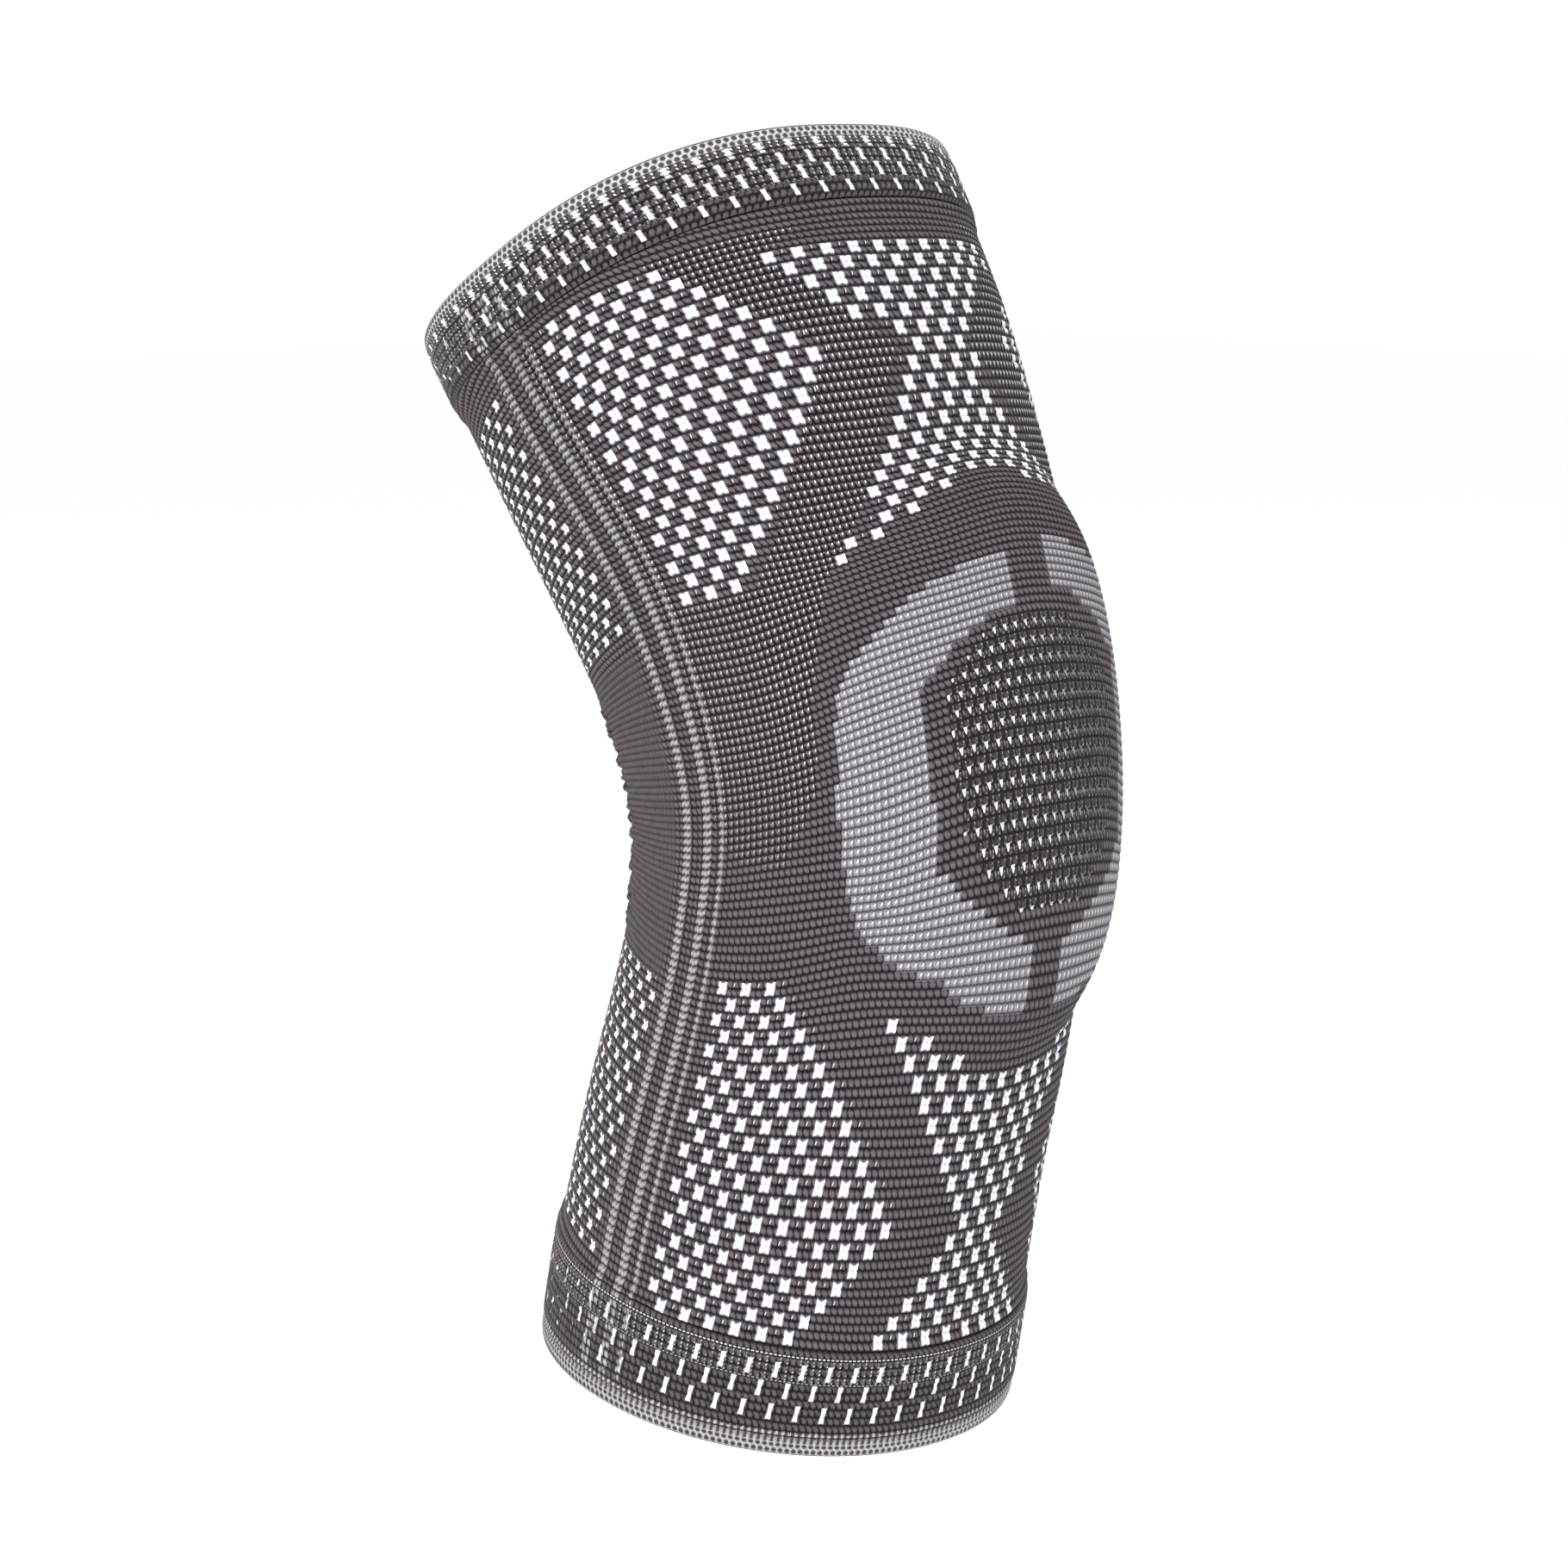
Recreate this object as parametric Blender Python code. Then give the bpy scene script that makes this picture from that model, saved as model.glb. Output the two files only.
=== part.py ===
"""Knitted knee sleeve in the bent shape that it has on a leg, open at both ends.

Metres, +Z up. The kneecap faces -Y and the sleeve is symmetric about X = 0. The origin is in the
hollow, on the leg's axis, halfway round the bend of the knee.
"""

import math
from functools import lru_cache

import bmesh
import bpy
import numpy as np

# Leg's axis, in the plane X = 0: a straight calf, a bend, a straight thigh
CALF_LENGTH = 0.077
BEND_LENGTH = 0.134
THIGH_LENGTH = 0.068
CALF_TILT = 13.3  # degrees back from upright, going down
THIGH_TILT = 27.3  # degrees back from upright, going up
LOWER_RIM_LEAN = 4.0  # degrees that the rim leans past square to the axis
UPPER_RIM_LEAN = 2.0
LEAN_START = 0.4  # share of the way to each rim where that lean begins
LEAN_GROWTH = 1.5

# Across the middle of the knee, outside the knit, without the kneecap's swell
KNEE_WIDTH = 0.100
KNEE_DEPTH = 0.1056

# Knitted wall
KNIT = 0.0014
SIDE_RIB_RAISE = 0.0009
BACK_RIB_RAISE = 0.0010
BACK_RIB_COUNT = 16
BACK_RIBS_ABOVE = 0.038  # how far the soft ribs behind the knee reach from the knee's middle
BACK_RIBS_BELOW = 0.042
BACK_RIBS_REACH = 0.40  # share of the half girth that they cover, from the back
BACK_RIBS_SIDE_FADE = 0.13  # share of the half girth over which they rise
BACK_RIBS_END_FADE = 0.2  # share of their half height over which they rise

# Swell over the kneecap ring
SWELL_HEIGHT = 0.114
SWELL_WIDTH = 0.104
SWELL_RAISE = 0.0066
SWELL_RAMP = 0.0190
SWELL_UP = 0.0055
SWELL_SQUARE = 2.4  # exponent of the swell's oval outline

# Kneecap ring
RING_OPENING = 0.050  # height of the opening that the kneecap sits in
RING_EDGE = 0.0010
RING_MARGIN = 0.0035  # from the foot of the swell to the ring's edge
RING_CLEARANCE = 0.0010

# Hems
WELT = 0.0010
UPPER_WELT_DEPTH = 0.018  # from the rim to the seam
LOWER_WELT_DEPTH = 0.027
WELT_FOLD = 0.0012
INNER_LEG_SHORT = 0.004  # how much sooner the folded-in leg ends
EDGING_HEIGHT = 0.0048
EDGING_INSET = 0.0002
GAP = 0.0003

# Mesh
FRONT_COLUMNS = 11
BACK_COLUMNS = 9
HEM_SIDE_COLUMNS = 2
RING_COLUMNS = 32
ROW_SPACING = 0.0125
INSIDE_ROW_SPACING = 0.0220
SWELL_ROW_SPACING = 0.0080
SECTION_SAMPLES = 361
AXIS_SAMPLES = 1201
SHARP_EDGE = 50.0  # degrees

# Cross-sections of the knit, from the lower rim at -1 past the knee at 0 to the upper rim at 1. Width and
# depth are shares of the knee's, back is how far the section sits behind the axis as a share of the knee's
# depth, square is the exponent of its rounded outline, and side is where the side ribs run, as a share of
# the half girth from the front.
SECTION_COLUMNS = ("station", "width", "depth", "back", "square", "side")
SECTIONS = (
    (-1.0, 1.085, 1.045, 0.068, 2.05, 0.505),
    (-0.8, 1.070, 1.034, 0.074, 2.08, 0.505),
    (-0.6, 1.042, 1.008, 0.072, 2.12, 0.503),
    (-0.4, 1.010, 0.987, 0.058, 2.15, 0.502),
    (-0.2, 0.992, 0.979, 0.046, 2.15, 0.496),
    (0.0, 1.004, 1.000, 0.035, 2.15, 0.479),
    (0.2, 1.050, 1.032, 0.032, 2.15, 0.478),
    (0.4, 1.092, 1.070, 0.031, 2.25, 0.488),
    (0.7, 1.152, 1.110, 0.046, 2.42, 0.522),
    (1.0, 1.180, 1.125, 0.085, 2.55, 0.540),
)

# Raised ribs down each side, one row each, as shares of the half girth before the table's side line is
# applied: front foot, start of the crown, end of the crown, back foot
SIDE_RIBS = (
    (0.466, 0.475, 0.475, 0.484),
    (0.489, 0.495, 0.505, 0.511),
    (0.528, 0.535, 0.547, 0.554),
)

# Profile of the kneecap ring from its opening to its rim and back: the share of the way outward, and the
# share of the way from the leg's side to the knit's side
RING_PROFILE = (
    (0.00, 0.25),
    (0.05, 0.80),
    (0.20, 1.00),
    (0.50, 1.00),
    (0.78, 0.95),
    (1.00, 0.80),
    (1.00, 0.10),
    (0.55, 0.00),
    (0.08, 0.00),
)

CHARCOAL = (0.075, 0.062, 0.072)
DARK_WELT = (0.055, 0.048, 0.054)
LIGHT_GREY = (0.42, 0.40, 0.42)
PAD_GREY = (0.30, 0.29, 0.31)

LOWER_REACH = CALF_LENGTH + BEND_LENGTH / 2
UPPER_REACH = THIGH_LENGTH + BEND_LENGTH / 2


def clear_scene():
    for thing in list(bpy.data.objects):
        bpy.data.objects.remove(thing)


def finish(name, colour, roughness):
    material = bpy.data.materials.new(name)
    material.use_nodes = True
    shader = material.node_tree.nodes["Principled BSDF"]
    shader.inputs["Base Color"].default_value = (*colour, 1.0)
    shader.inputs["Roughness"].default_value = roughness
    shader.inputs["Metallic"].default_value = 0.0
    return material


def ease(share):
    """A smooth step from 0 to 1."""
    share = np.clip(share, 0.0, 1.0)
    return share * share * (3 - 2 * share)


def column(name):
    return np.array([row[SECTION_COLUMNS.index(name)] for row in SECTIONS])


def from_table(name, station):
    """A smooth curve through one column of the section table."""
    places = column("station")
    values = column(name)
    slopes = np.gradient(values, places)
    i = int(np.clip(np.searchsorted(places, station) - 1, 0, len(places) - 2))
    step = places[i + 1] - places[i]
    t = (station - places[i]) / step
    start = (1 + 2 * t) * (1 - t) ** 2 * values[i] + t * (1 - t) ** 2 * step * slopes[i]
    end = t * t * (3 - 2 * t) * values[i + 1] - t * t * (1 - t) * step * slopes[i + 1]
    return float(start + end)


def station_at(along):
    return along / (LOWER_REACH if along < 0 else UPPER_REACH)


@lru_cache
def leg_axis():
    """The axis as arrays: distance from the knee's middle, y, z and tilt from upright."""
    along = np.linspace(-LOWER_REACH, UPPER_REACH, AXIS_SAMPLES)
    bent = ease(along / BEND_LENGTH + 0.5)
    tilt = np.radians(bent * (CALF_TILT + THIGH_TILT) - CALF_TILT)
    step = along[1] - along[0]
    y = np.cumsum(np.sin(tilt)) * step
    z = np.cumsum(np.cos(tilt)) * step
    return along, y - np.interp(0, along, y), z - np.interp(0, along, z), tilt


def rim_lean(station):
    """How far past square to the axis a section leans near the rims, in radians."""
    grown = max(0.0, (abs(station) - LEAN_START) / (1 - LEAN_START)) ** LEAN_GROWTH
    return math.radians(LOWER_RIM_LEAN if station < 0 else UPPER_RIM_LEAN) * grown


@lru_cache(maxsize=None)
def section(along):
    """One cross-section: its half outline by share of girth, its size, its place and its lean."""
    station = station_at(along)
    half_width = from_table("width", station) * KNEE_WIDTH / 2
    half_depth = from_table("depth", station) * KNEE_DEPTH / 2
    square = from_table("square", station)
    turn = np.linspace(0, math.pi, SECTION_SAMPLES)
    across = half_width * np.sin(turn).clip(0) ** (2 / square)
    back = -half_depth * np.sign(np.cos(turn)) * np.abs(np.cos(turn)) ** (2 / square)
    girth = np.concatenate([[0], np.cumsum(np.hypot(np.diff(across), np.diff(back)))])
    axis, y, z, tilt = leg_axis()
    return {
        "share": girth / girth[-1],
        "across": across,
        "back": back,
        "half_girth": float(girth[-1]),
        "half_width": half_width,
        "half_depth": half_depth,
        "square": square,
        "shift": from_table("back", station) * KNEE_DEPTH,
        "y": float(np.interp(along, axis, y)),
        "z": float(np.interp(along, axis, z)),
        "lean": float(np.interp(along, axis, tilt)) + rim_lean(station),
        "side": from_table("side", station),
    }


def swell(along, around):
    """How far the kneecap ring lifts the knit, with around in metres from the front."""
    height = abs(along - SWELL_UP) / (SWELL_HEIGHT / 2)
    width = abs(around) / (SWELL_WIDTH / 2)
    oval = (height**SWELL_SQUARE + width**SWELL_SQUARE) ** (1 / SWELL_SQUARE)
    return SWELL_RAISE * ease((1 - oval) * SWELL_HEIGHT / 2 / SWELL_RAMP)


def rounded(value):
    """A cosine or a sine drawn out toward the squarer outline of the swell."""
    return math.copysign(abs(value) ** (2 / SWELL_SQUARE), value)


def place(along, share, out):
    """A point by its distance along the leg, its share of the half girth (+ is the +X side) and its offset
    from the outside of the knit, which the kneecap ring lifts."""
    cut = section(along)
    x = float(np.interp(abs(share), cut["share"], cut["across"]))
    d = float(np.interp(abs(share), cut["share"], cut["back"]))
    power = cut["square"] - 1
    normal_x = (x / cut["half_width"]) ** power / cut["half_width"]
    normal_d = math.copysign((abs(d) / cut["half_depth"]) ** power / cut["half_depth"], d)
    size = math.hypot(normal_x, normal_d)
    lift = out + swell(along, share * cut["half_girth"])
    x += lift * normal_x / size
    d += lift * normal_d / size + cut["shift"]
    side = math.copysign(1.0, share)
    return side * x, cut["y"] + d * math.cos(cut["lean"]), cut["z"] - d * math.sin(cut["lean"])


def wale_share(along, wale):
    """Where a wale of the knit lies: wales are even at the rims and drawn forward beside the kneecap."""
    drawn = (section(along)["side"] - 0.5) * math.sin(math.pi * abs(wale))
    return wale + math.copysign(drawn, wale)


def wall_ends():
    """Where the tube's own lower and upper ends lie, inside the folded hems."""
    short = EDGING_HEIGHT + GAP + WELT_FOLD + GAP
    return -LOWER_REACH + short, UPPER_REACH - short


def half_wales():
    """Columns from the front to the back, closer together where the side ribs are."""
    ribs = sorted({value for rib in SIDE_RIBS for value in rib})
    front = np.linspace(0, ribs[0], FRONT_COLUMNS, endpoint=False)
    back = np.linspace(ribs[-1], 1, BACK_COLUMNS + 1)[1:]
    return [*front, *ribs, *back]


def half_hem_wales():
    """The tube's own columns with fewer across the side ribs, so that hems and tube run parallel."""
    first, last = SIDE_RIBS[0][0], SIDE_RIBS[-1][-1]
    front = [wale for wale in half_wales() if wale < first]
    back = [wale for wale in half_wales() if wale > last]
    return [*front, *np.linspace(first, last, HEM_SIDE_COLUMNS + 1), *back]


def both_sides(half):
    """Closes a half list from front to back into a full turn."""
    other = [-value for value in reversed(half[1:-1])]
    return [*half, *other]


def spaced(low, high, spacing):
    """Places from low to high, evenly spaced, about the spacing apart."""
    count = math.ceil((high - low) / spacing - 0.5)
    return [float(place) for place in np.linspace(low, high, count + 1)] if count else [low]


def rows_between(low, high, plain_spacing):
    """Places from low to high, closer together where they cross the swell."""
    swell_low = min(max(SWELL_UP - SWELL_HEIGHT / 2, low), high)
    swell_high = max(min(SWELL_UP + SWELL_HEIGHT / 2, high), low)
    lower = spaced(low, swell_low, plain_spacing)
    middle = spaced(swell_low, swell_high, SWELL_ROW_SPACING)
    upper = spaced(swell_high, high, plain_spacing)
    return sorted({*lower, *middle, *upper})


def outside_rows():
    """Rows of the outer face: one in each crest and each valley of the ribs behind the knee."""
    low, high = wall_ends()
    ribs = np.linspace(-BACK_RIBS_BELOW, BACK_RIBS_ABOVE, 2 * BACK_RIB_COUNT + 1)
    lower = rows_between(low, -BACK_RIBS_BELOW, ROW_SPACING)
    upper = rows_between(BACK_RIBS_ABOVE, high, ROW_SPACING)
    return [*lower[:-1], *ribs, *upper[1:]]


def inside_rows():
    return rows_between(*wall_ends(), INSIDE_ROW_SPACING)


def side_rib_raise(along, wale):
    """The three raised ribs of each side, which sink into the wall before the hems."""
    lower_end = (along + LOWER_REACH - LOWER_WELT_DEPTH) / ROW_SPACING
    upper_end = (UPPER_REACH - UPPER_WELT_DEPTH - along) / ROW_SPACING
    on_crown = any(crown_start <= abs(wale) <= crown_end for _, crown_start, crown_end, _ in SIDE_RIBS)
    return SIDE_RIB_RAISE * ease(lower_end) * ease(upper_end) * on_crown


def back_rib_raise(along, wale, row):
    """Soft ribs behind the knee, fading toward the sides and toward their upper and lower ends."""
    middle = (BACK_RIBS_ABOVE - BACK_RIBS_BELOW) / 2
    half_zone = (BACK_RIBS_ABOVE + BACK_RIBS_BELOW) / 2
    ends = ease((1 - abs(along - middle) / half_zone) / BACK_RIBS_END_FADE)
    around = ease((abs(wale) - 1 + BACK_RIBS_REACH) / BACK_RIBS_SIDE_FADE)
    return BACK_RIB_RAISE * ends * around * (row % 2)


def closed_grid(name, rings, material):
    """A solid from rings of points: each ring closes on itself and the last ring joins the first."""
    shape = bmesh.new()
    corners = [[shape.verts.new(point) for point in ring] for ring in rings]
    for i, ring in enumerate(corners):
        following = corners[(i + 1) % len(corners)]
        for j in range(len(ring)):
            k = (j + 1) % len(ring)
            shape.faces.new((ring[j], ring[k], following[k], following[j]))
    bmesh.ops.recalc_face_normals(shape, faces=shape.faces)
    mesh = bpy.data.meshes.new(name)
    shape.to_mesh(mesh)
    shape.free()
    mesh.shade_smooth()
    mesh.set_sharp_from_angle(angle=math.radians(SHARP_EDGE))
    mesh.materials.append(material)
    thing = bpy.data.objects.new(name, mesh)
    bpy.context.scene.collection.objects.link(thing)
    return thing


def make_knit_sleeve():
    """The knitted tube: one wall with ribs down its sides and behind the knee."""
    wales = both_sides(half_wales())
    rings = []
    rows = outside_rows()
    first_rib_row = rows.index(-BACK_RIBS_BELOW)
    for row, along in enumerate(rows):
        ring = []
        for wale in wales:
            raised = side_rib_raise(along, wale) + back_rib_raise(along, wale, row - first_rib_row)
            ring.append(place(along, wale_share(along, wale), raised))
        rings.append(ring)
    for along in reversed(inside_rows()):
        rings.append([place(along, wale_share(along, wale), -KNIT) for wale in wales])
    return closed_grid("knit_sleeve", rings, finish("charcoal_knit", CHARCOAL, 0.9))


def hem_ring(rim, inward, depth, out):
    """One ring of a hem, by its depth from the rim and its offset from the knit's outside."""
    along = rim + inward * depth
    return [place(along, wale_share(along, wale), out) for wale in both_sides(half_hem_wales())]


def make_welt(name, rim, inward, depth):
    """A band folded over the tube's end: a leg outside, a fold, and a shorter leg inside."""
    top = EDGING_HEIGHT + GAP
    slot = top + WELT_FOLD
    outside = GAP + WELT
    inside = -KNIT - GAP - WELT
    profile = (
        (depth, GAP),
        (depth, outside),
        (slot, outside),
        (top, outside - WELT / 3),
        (top, inside + WELT / 3),
        (slot, inside),
        (depth - INNER_LEG_SHORT, inside),
        (depth - INNER_LEG_SHORT, -KNIT - GAP),
        (slot, -KNIT - GAP),
        (slot, GAP),
    )
    rings = [hem_ring(rim, inward, *corner) for corner in profile]
    return closed_grid(name, rings, finish(name + "_knit", DARK_WELT, 0.9))


def make_edging(name, rim, inward):
    """The light elastic edge along the fold of a welt, rounded at the rim."""
    outside = GAP + WELT - EDGING_INSET
    inside = -KNIT - GAP - WELT + EDGING_INSET
    quarter = (outside - inside) / 4
    profile = (
        (EDGING_HEIGHT, outside),
        (quarter, outside),
        (0.0, outside - quarter),
        (0.0, inside + quarter),
        (quarter, inside),
        (EDGING_HEIGHT, inside),
    )
    rings = [hem_ring(rim, inward, *corner) for corner in profile]
    return closed_grid(name, rings, finish(name + "_yarn", LIGHT_GREY, 0.85))


def make_kneecap_ring():
    """The oval cushion ring between the knit and the leg, open in the middle for the kneecap."""
    inner = RING_OPENING / SWELL_HEIGHT
    outer = 1 - RING_MARGIN / (SWELL_HEIGHT / 2)
    rings = []
    for turn in np.linspace(0, 2 * math.pi, RING_COLUMNS, endpoint=False):
        ring = []
        for across, lift in RING_PROFILE:
            oval = inner + (outer - inner) * across
            along = SWELL_UP + oval * SWELL_HEIGHT / 2 * rounded(math.cos(turn))
            around = oval * SWELL_WIDTH / 2 * rounded(math.sin(turn))
            share = around / section(along)["half_girth"]
            raised = swell(along, around)
            under_knit = -KNIT - RING_CLEARANCE
            on_leg = under_knit - raised - RING_EDGE
            ring.append(place(along, share, on_leg + lift * (under_knit - on_leg)))
        rings.append(ring)
    return closed_grid("kneecap_ring", rings, finish("cushion", PAD_GREY, 0.6))


def make_sleeve():
    clear_scene()
    make_knit_sleeve()
    make_kneecap_ring()
    make_welt("lower_welt", -LOWER_REACH, 1, LOWER_WELT_DEPTH)
    make_welt("upper_welt", UPPER_REACH, -1, UPPER_WELT_DEPTH)
    make_edging("lower_edging", -LOWER_REACH, 1)
    make_edging("upper_edging", UPPER_REACH, -1)


make_sleeve()
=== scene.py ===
"""A knitted knee sleeve in charcoal, white and grey, in the bent shape that it has when worn."""

import math

import bpy
import numpy as np
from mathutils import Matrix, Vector


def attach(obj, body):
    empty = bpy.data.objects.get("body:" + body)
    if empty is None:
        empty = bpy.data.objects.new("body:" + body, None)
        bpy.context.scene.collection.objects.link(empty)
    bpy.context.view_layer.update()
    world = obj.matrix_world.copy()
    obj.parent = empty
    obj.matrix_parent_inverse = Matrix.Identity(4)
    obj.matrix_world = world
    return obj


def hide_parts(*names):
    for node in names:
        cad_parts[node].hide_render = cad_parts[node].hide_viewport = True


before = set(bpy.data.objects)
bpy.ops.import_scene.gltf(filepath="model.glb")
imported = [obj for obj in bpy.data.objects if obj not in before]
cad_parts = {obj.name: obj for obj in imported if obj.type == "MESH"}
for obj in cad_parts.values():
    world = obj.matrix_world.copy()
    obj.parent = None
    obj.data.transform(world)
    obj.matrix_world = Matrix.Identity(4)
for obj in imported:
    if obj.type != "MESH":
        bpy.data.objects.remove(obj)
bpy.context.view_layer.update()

# The camera stands at the photograph's angle, in front of the sleeve, to its left and a little above.
CAMERA_TURN = math.radians(-44.0)
CAMERA_RISE = math.radians(9.5)
CAMERA_DISTANCE = 0.90
CAMERA_LENS = 89.0
CAMERA_SIGHT = Vector((0.0, 0.0288, -0.003))

level = math.cos(CAMERA_RISE)
toward_camera = Vector(
    (math.sin(CAMERA_TURN) * level, -math.cos(CAMERA_TURN) * level, math.sin(CAMERA_RISE))
)
camera_data = bpy.data.cameras.new("camera")
camera_data.sensor_width = 36.0
camera_data.lens = CAMERA_LENS
camera_data.clip_start = 0.01
camera = bpy.data.objects.new("camera", camera_data)
camera.location = CAMERA_SIGHT + toward_camera * CAMERA_DISTANCE
camera.rotation_mode = "QUATERNION"
camera.rotation_quaternion = (-toward_camera).to_track_quat("-Z", "Y")
bpy.context.scene.collection.objects.link(camera)
bpy.context.scene.camera = camera

# A plain pale floor, well below the sleeve, and soft white light all round it, with one broad lamp at the
# camera's left, a weaker one at its right and one behind, as for a product picture.
FLOOR_DROP = 0.30
FLOOR_SIZE = 12.0
FLOOR_COLOUR = (0.98, 0.98, 0.98)
FLOOR_SHADE = (0.93, 0.93, 0.93)
ROOM_LIGHT = 0.82
EXPOSURE = 0.32
LAMPS = (
    ("left_lamp", (-1.35, -0.80, 1.00), 0.70, 24.0),
    ("right_lamp", (0.95, -1.35, 0.50), 1.20, 2.0),
    ("back_lamp", (-0.60, 1.40, 1.00), 1.20, 6.0),
)

bpy.context.scene.view_settings.view_transform = "Standard"
bpy.context.scene.view_settings.exposure = EXPOSURE

world = bpy.data.worlds.new("studio")
world.use_nodes = True
world.node_tree.nodes["Background"].inputs["Color"].default_value = (1.0, 1.0, 1.0, 1.0)
world.node_tree.nodes["Background"].inputs["Strength"].default_value = ROOM_LIGHT
bpy.context.scene.world = world
for name, spot, size, power in LAMPS:
    lamp_data = bpy.data.lights.new(name, "AREA")
    lamp_data.size = size
    lamp_data.energy = power
    lamp = bpy.data.objects.new(name, lamp_data)
    lamp.location = spot
    lamp.rotation_mode = "QUATERNION"
    lamp.rotation_quaternion = (-Vector(spot)).to_track_quat("-Z", "Y")
    bpy.context.scene.collection.objects.link(lamp)


def put(tree, kind, settings=(), sockets=(), out=0):
    """Adds a node with its settings and sockets, and gives the socket that leaves it."""
    node = tree.nodes.new(kind)
    for setting, value in dict(settings).items():
        setattr(node, setting, value)
    for name, value in dict(sockets).items():
        join(tree, value, node.inputs[name])
    return Strand(tree, node.outputs[out])


def join(tree, value, socket):
    """Leads a value or a strand of maths into a socket."""
    if isinstance(value, Strand):
        tree.links.new(value.socket, socket)
    else:
        socket.default_value = value


class Strand:
    """A socket that carries a number over the surface, and takes part in Python's arithmetic."""

    def __init__(self, tree, socket):
        self.tree = tree
        self.socket = socket

    def maths(self, operation, *values, clamp=False):
        settings = {"operation": operation, "use_clamp": clamp}
        return put(self.tree, "ShaderNodeMath", settings, enumerate((self, *values)))

    def swapped(self, operation, value):
        return put(self.tree, "ShaderNodeMath", {"operation": operation}, {0: value, 1: self})

    def __add__(self, value):
        return self.maths("ADD", value)

    __radd__ = __add__

    def __mul__(self, value):
        return self.maths("MULTIPLY", value)

    __rmul__ = __mul__

    def __sub__(self, value):
        return self.maths("SUBTRACT", value)

    def __rsub__(self, value):
        return self.swapped("SUBTRACT", value)

    def __truediv__(self, value):
        return self.maths("DIVIDE", value)

    def __pow__(self, value):
        return self.maths("POWER", value)

    def __abs__(self):
        return self.maths("ABSOLUTE")

    def part(self):
        """What is left past the whole number."""
        return self.maths("FRACT")

    def whole(self):
        return self.maths("FLOOR")

    def most(self, value):
        return self.maths("MAXIMUM", value)

    def least(self, value):
        return self.maths("MINIMUM", value)

    def held(self):
        """The same number, held between 0 and 1."""
        return self.maths("ADD", 0.0, clamp=True)

    def above(self, limit, blur):
        """0 below the limit and 1 above it, with a soft edge of this width."""
        return ((self - limit) / blur + 0.5).held()

    def below(self, limit, blur):
        return ((limit - self) / blur + 0.5).held()


floor_finish = bpy.data.materials.new("pale_floor")
floor_finish.use_nodes = True
floor_tree = floor_finish.node_tree
floor_grain = put(floor_tree, "ShaderNodeTexNoise", (), {"Scale": 3.0, "Detail": 2.0})
floor_colour = put(
    floor_tree,
    "ShaderNodeMix",
    {"data_type": "RGBA"},
    {0: floor_grain, 6: (*FLOOR_COLOUR, 1.0), 7: (*FLOOR_SHADE, 1.0)},
    out=2,
)
floor_shader = floor_tree.nodes["Principled BSDF"]
join(floor_tree, floor_colour, floor_shader.inputs["Base Color"])
floor_shader.inputs["Roughness"].default_value = 0.8
floor_mesh = bpy.data.meshes.new("floor")
half_floor = FLOOR_SIZE / 2
floor_corners = ((-1, -1), (1, -1), (1, 1), (-1, 1))
floor_mesh.from_pydata(
    [(x * half_floor, y * half_floor, -FLOOR_DROP) for x, y in floor_corners], [], [(0, 1, 2, 3)]
)
floor_mesh.materials.append(floor_finish)
floor = bpy.data.objects.new("floor", floor_mesh)
bpy.context.scene.collection.objects.link(floor)

# The body of the sleeve is one tube of elastic rib knit, 220 wales round and about 130 courses between
# the hems, knitted in charcoal with white checks, two grey crescents beside the kneecap and grey ribs
# down its sides. It is drawn out to the bent shape of wear, and swells over the cushion ring in front.
CALF_LENGTH = 0.077
BEND_LENGTH = 0.134
THIGH_LENGTH = 0.068
CALF_TILT = 13.3
THIGH_TILT = 27.3
LOWER_RIM_LEAN = 4.0
UPPER_RIM_LEAN = 2.0
LEAN_START = 0.4
LEAN_GROWTH = 1.5
KNEE_WIDTH = 0.100
KNEE_DEPTH = 0.1056
SWELL_HEIGHT = 0.114
SWELL_WIDTH = 0.104
SWELL_RAISE = 0.0066
SWELL_RAMP = 0.0190
SWELL_UP = 0.0055
SWELL_SQUARE = 2.4
LOWER_REACH = CALF_LENGTH + BEND_LENGTH / 2
UPPER_REACH = THIGH_LENGTH + BEND_LENGTH / 2

# Cross-sections from the lower rim at -1 to the upper rim at 1: station, width, depth, back, square, side
SECTIONS = np.array(
    (
        (-1.0, 1.085, 1.045, 0.068, 2.05, 0.505),
        (-0.8, 1.070, 1.034, 0.074, 2.08, 0.505),
        (-0.6, 1.042, 1.008, 0.072, 2.12, 0.503),
        (-0.4, 1.010, 0.987, 0.058, 2.15, 0.502),
        (-0.2, 0.992, 0.979, 0.046, 2.15, 0.496),
        (0.0, 1.004, 1.000, 0.035, 2.15, 0.479),
        (0.2, 1.050, 1.032, 0.032, 2.15, 0.478),
        (0.4, 1.092, 1.070, 0.031, 2.25, 0.488),
        (0.7, 1.152, 1.110, 0.046, 2.42, 0.522),
        (1.0, 1.180, 1.125, 0.085, 2.55, 0.540),
    )
)
ALONG_SAMPLES = 561
SHARE_SAMPLES = 721
TURN_SAMPLES = 361
AXIS_SAMPLES = 1201


def ease(share):
    """A smooth step from 0 to 1."""
    share = np.clip(share, 0.0, 1.0)
    return share * share * (3 - 2 * share)


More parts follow.
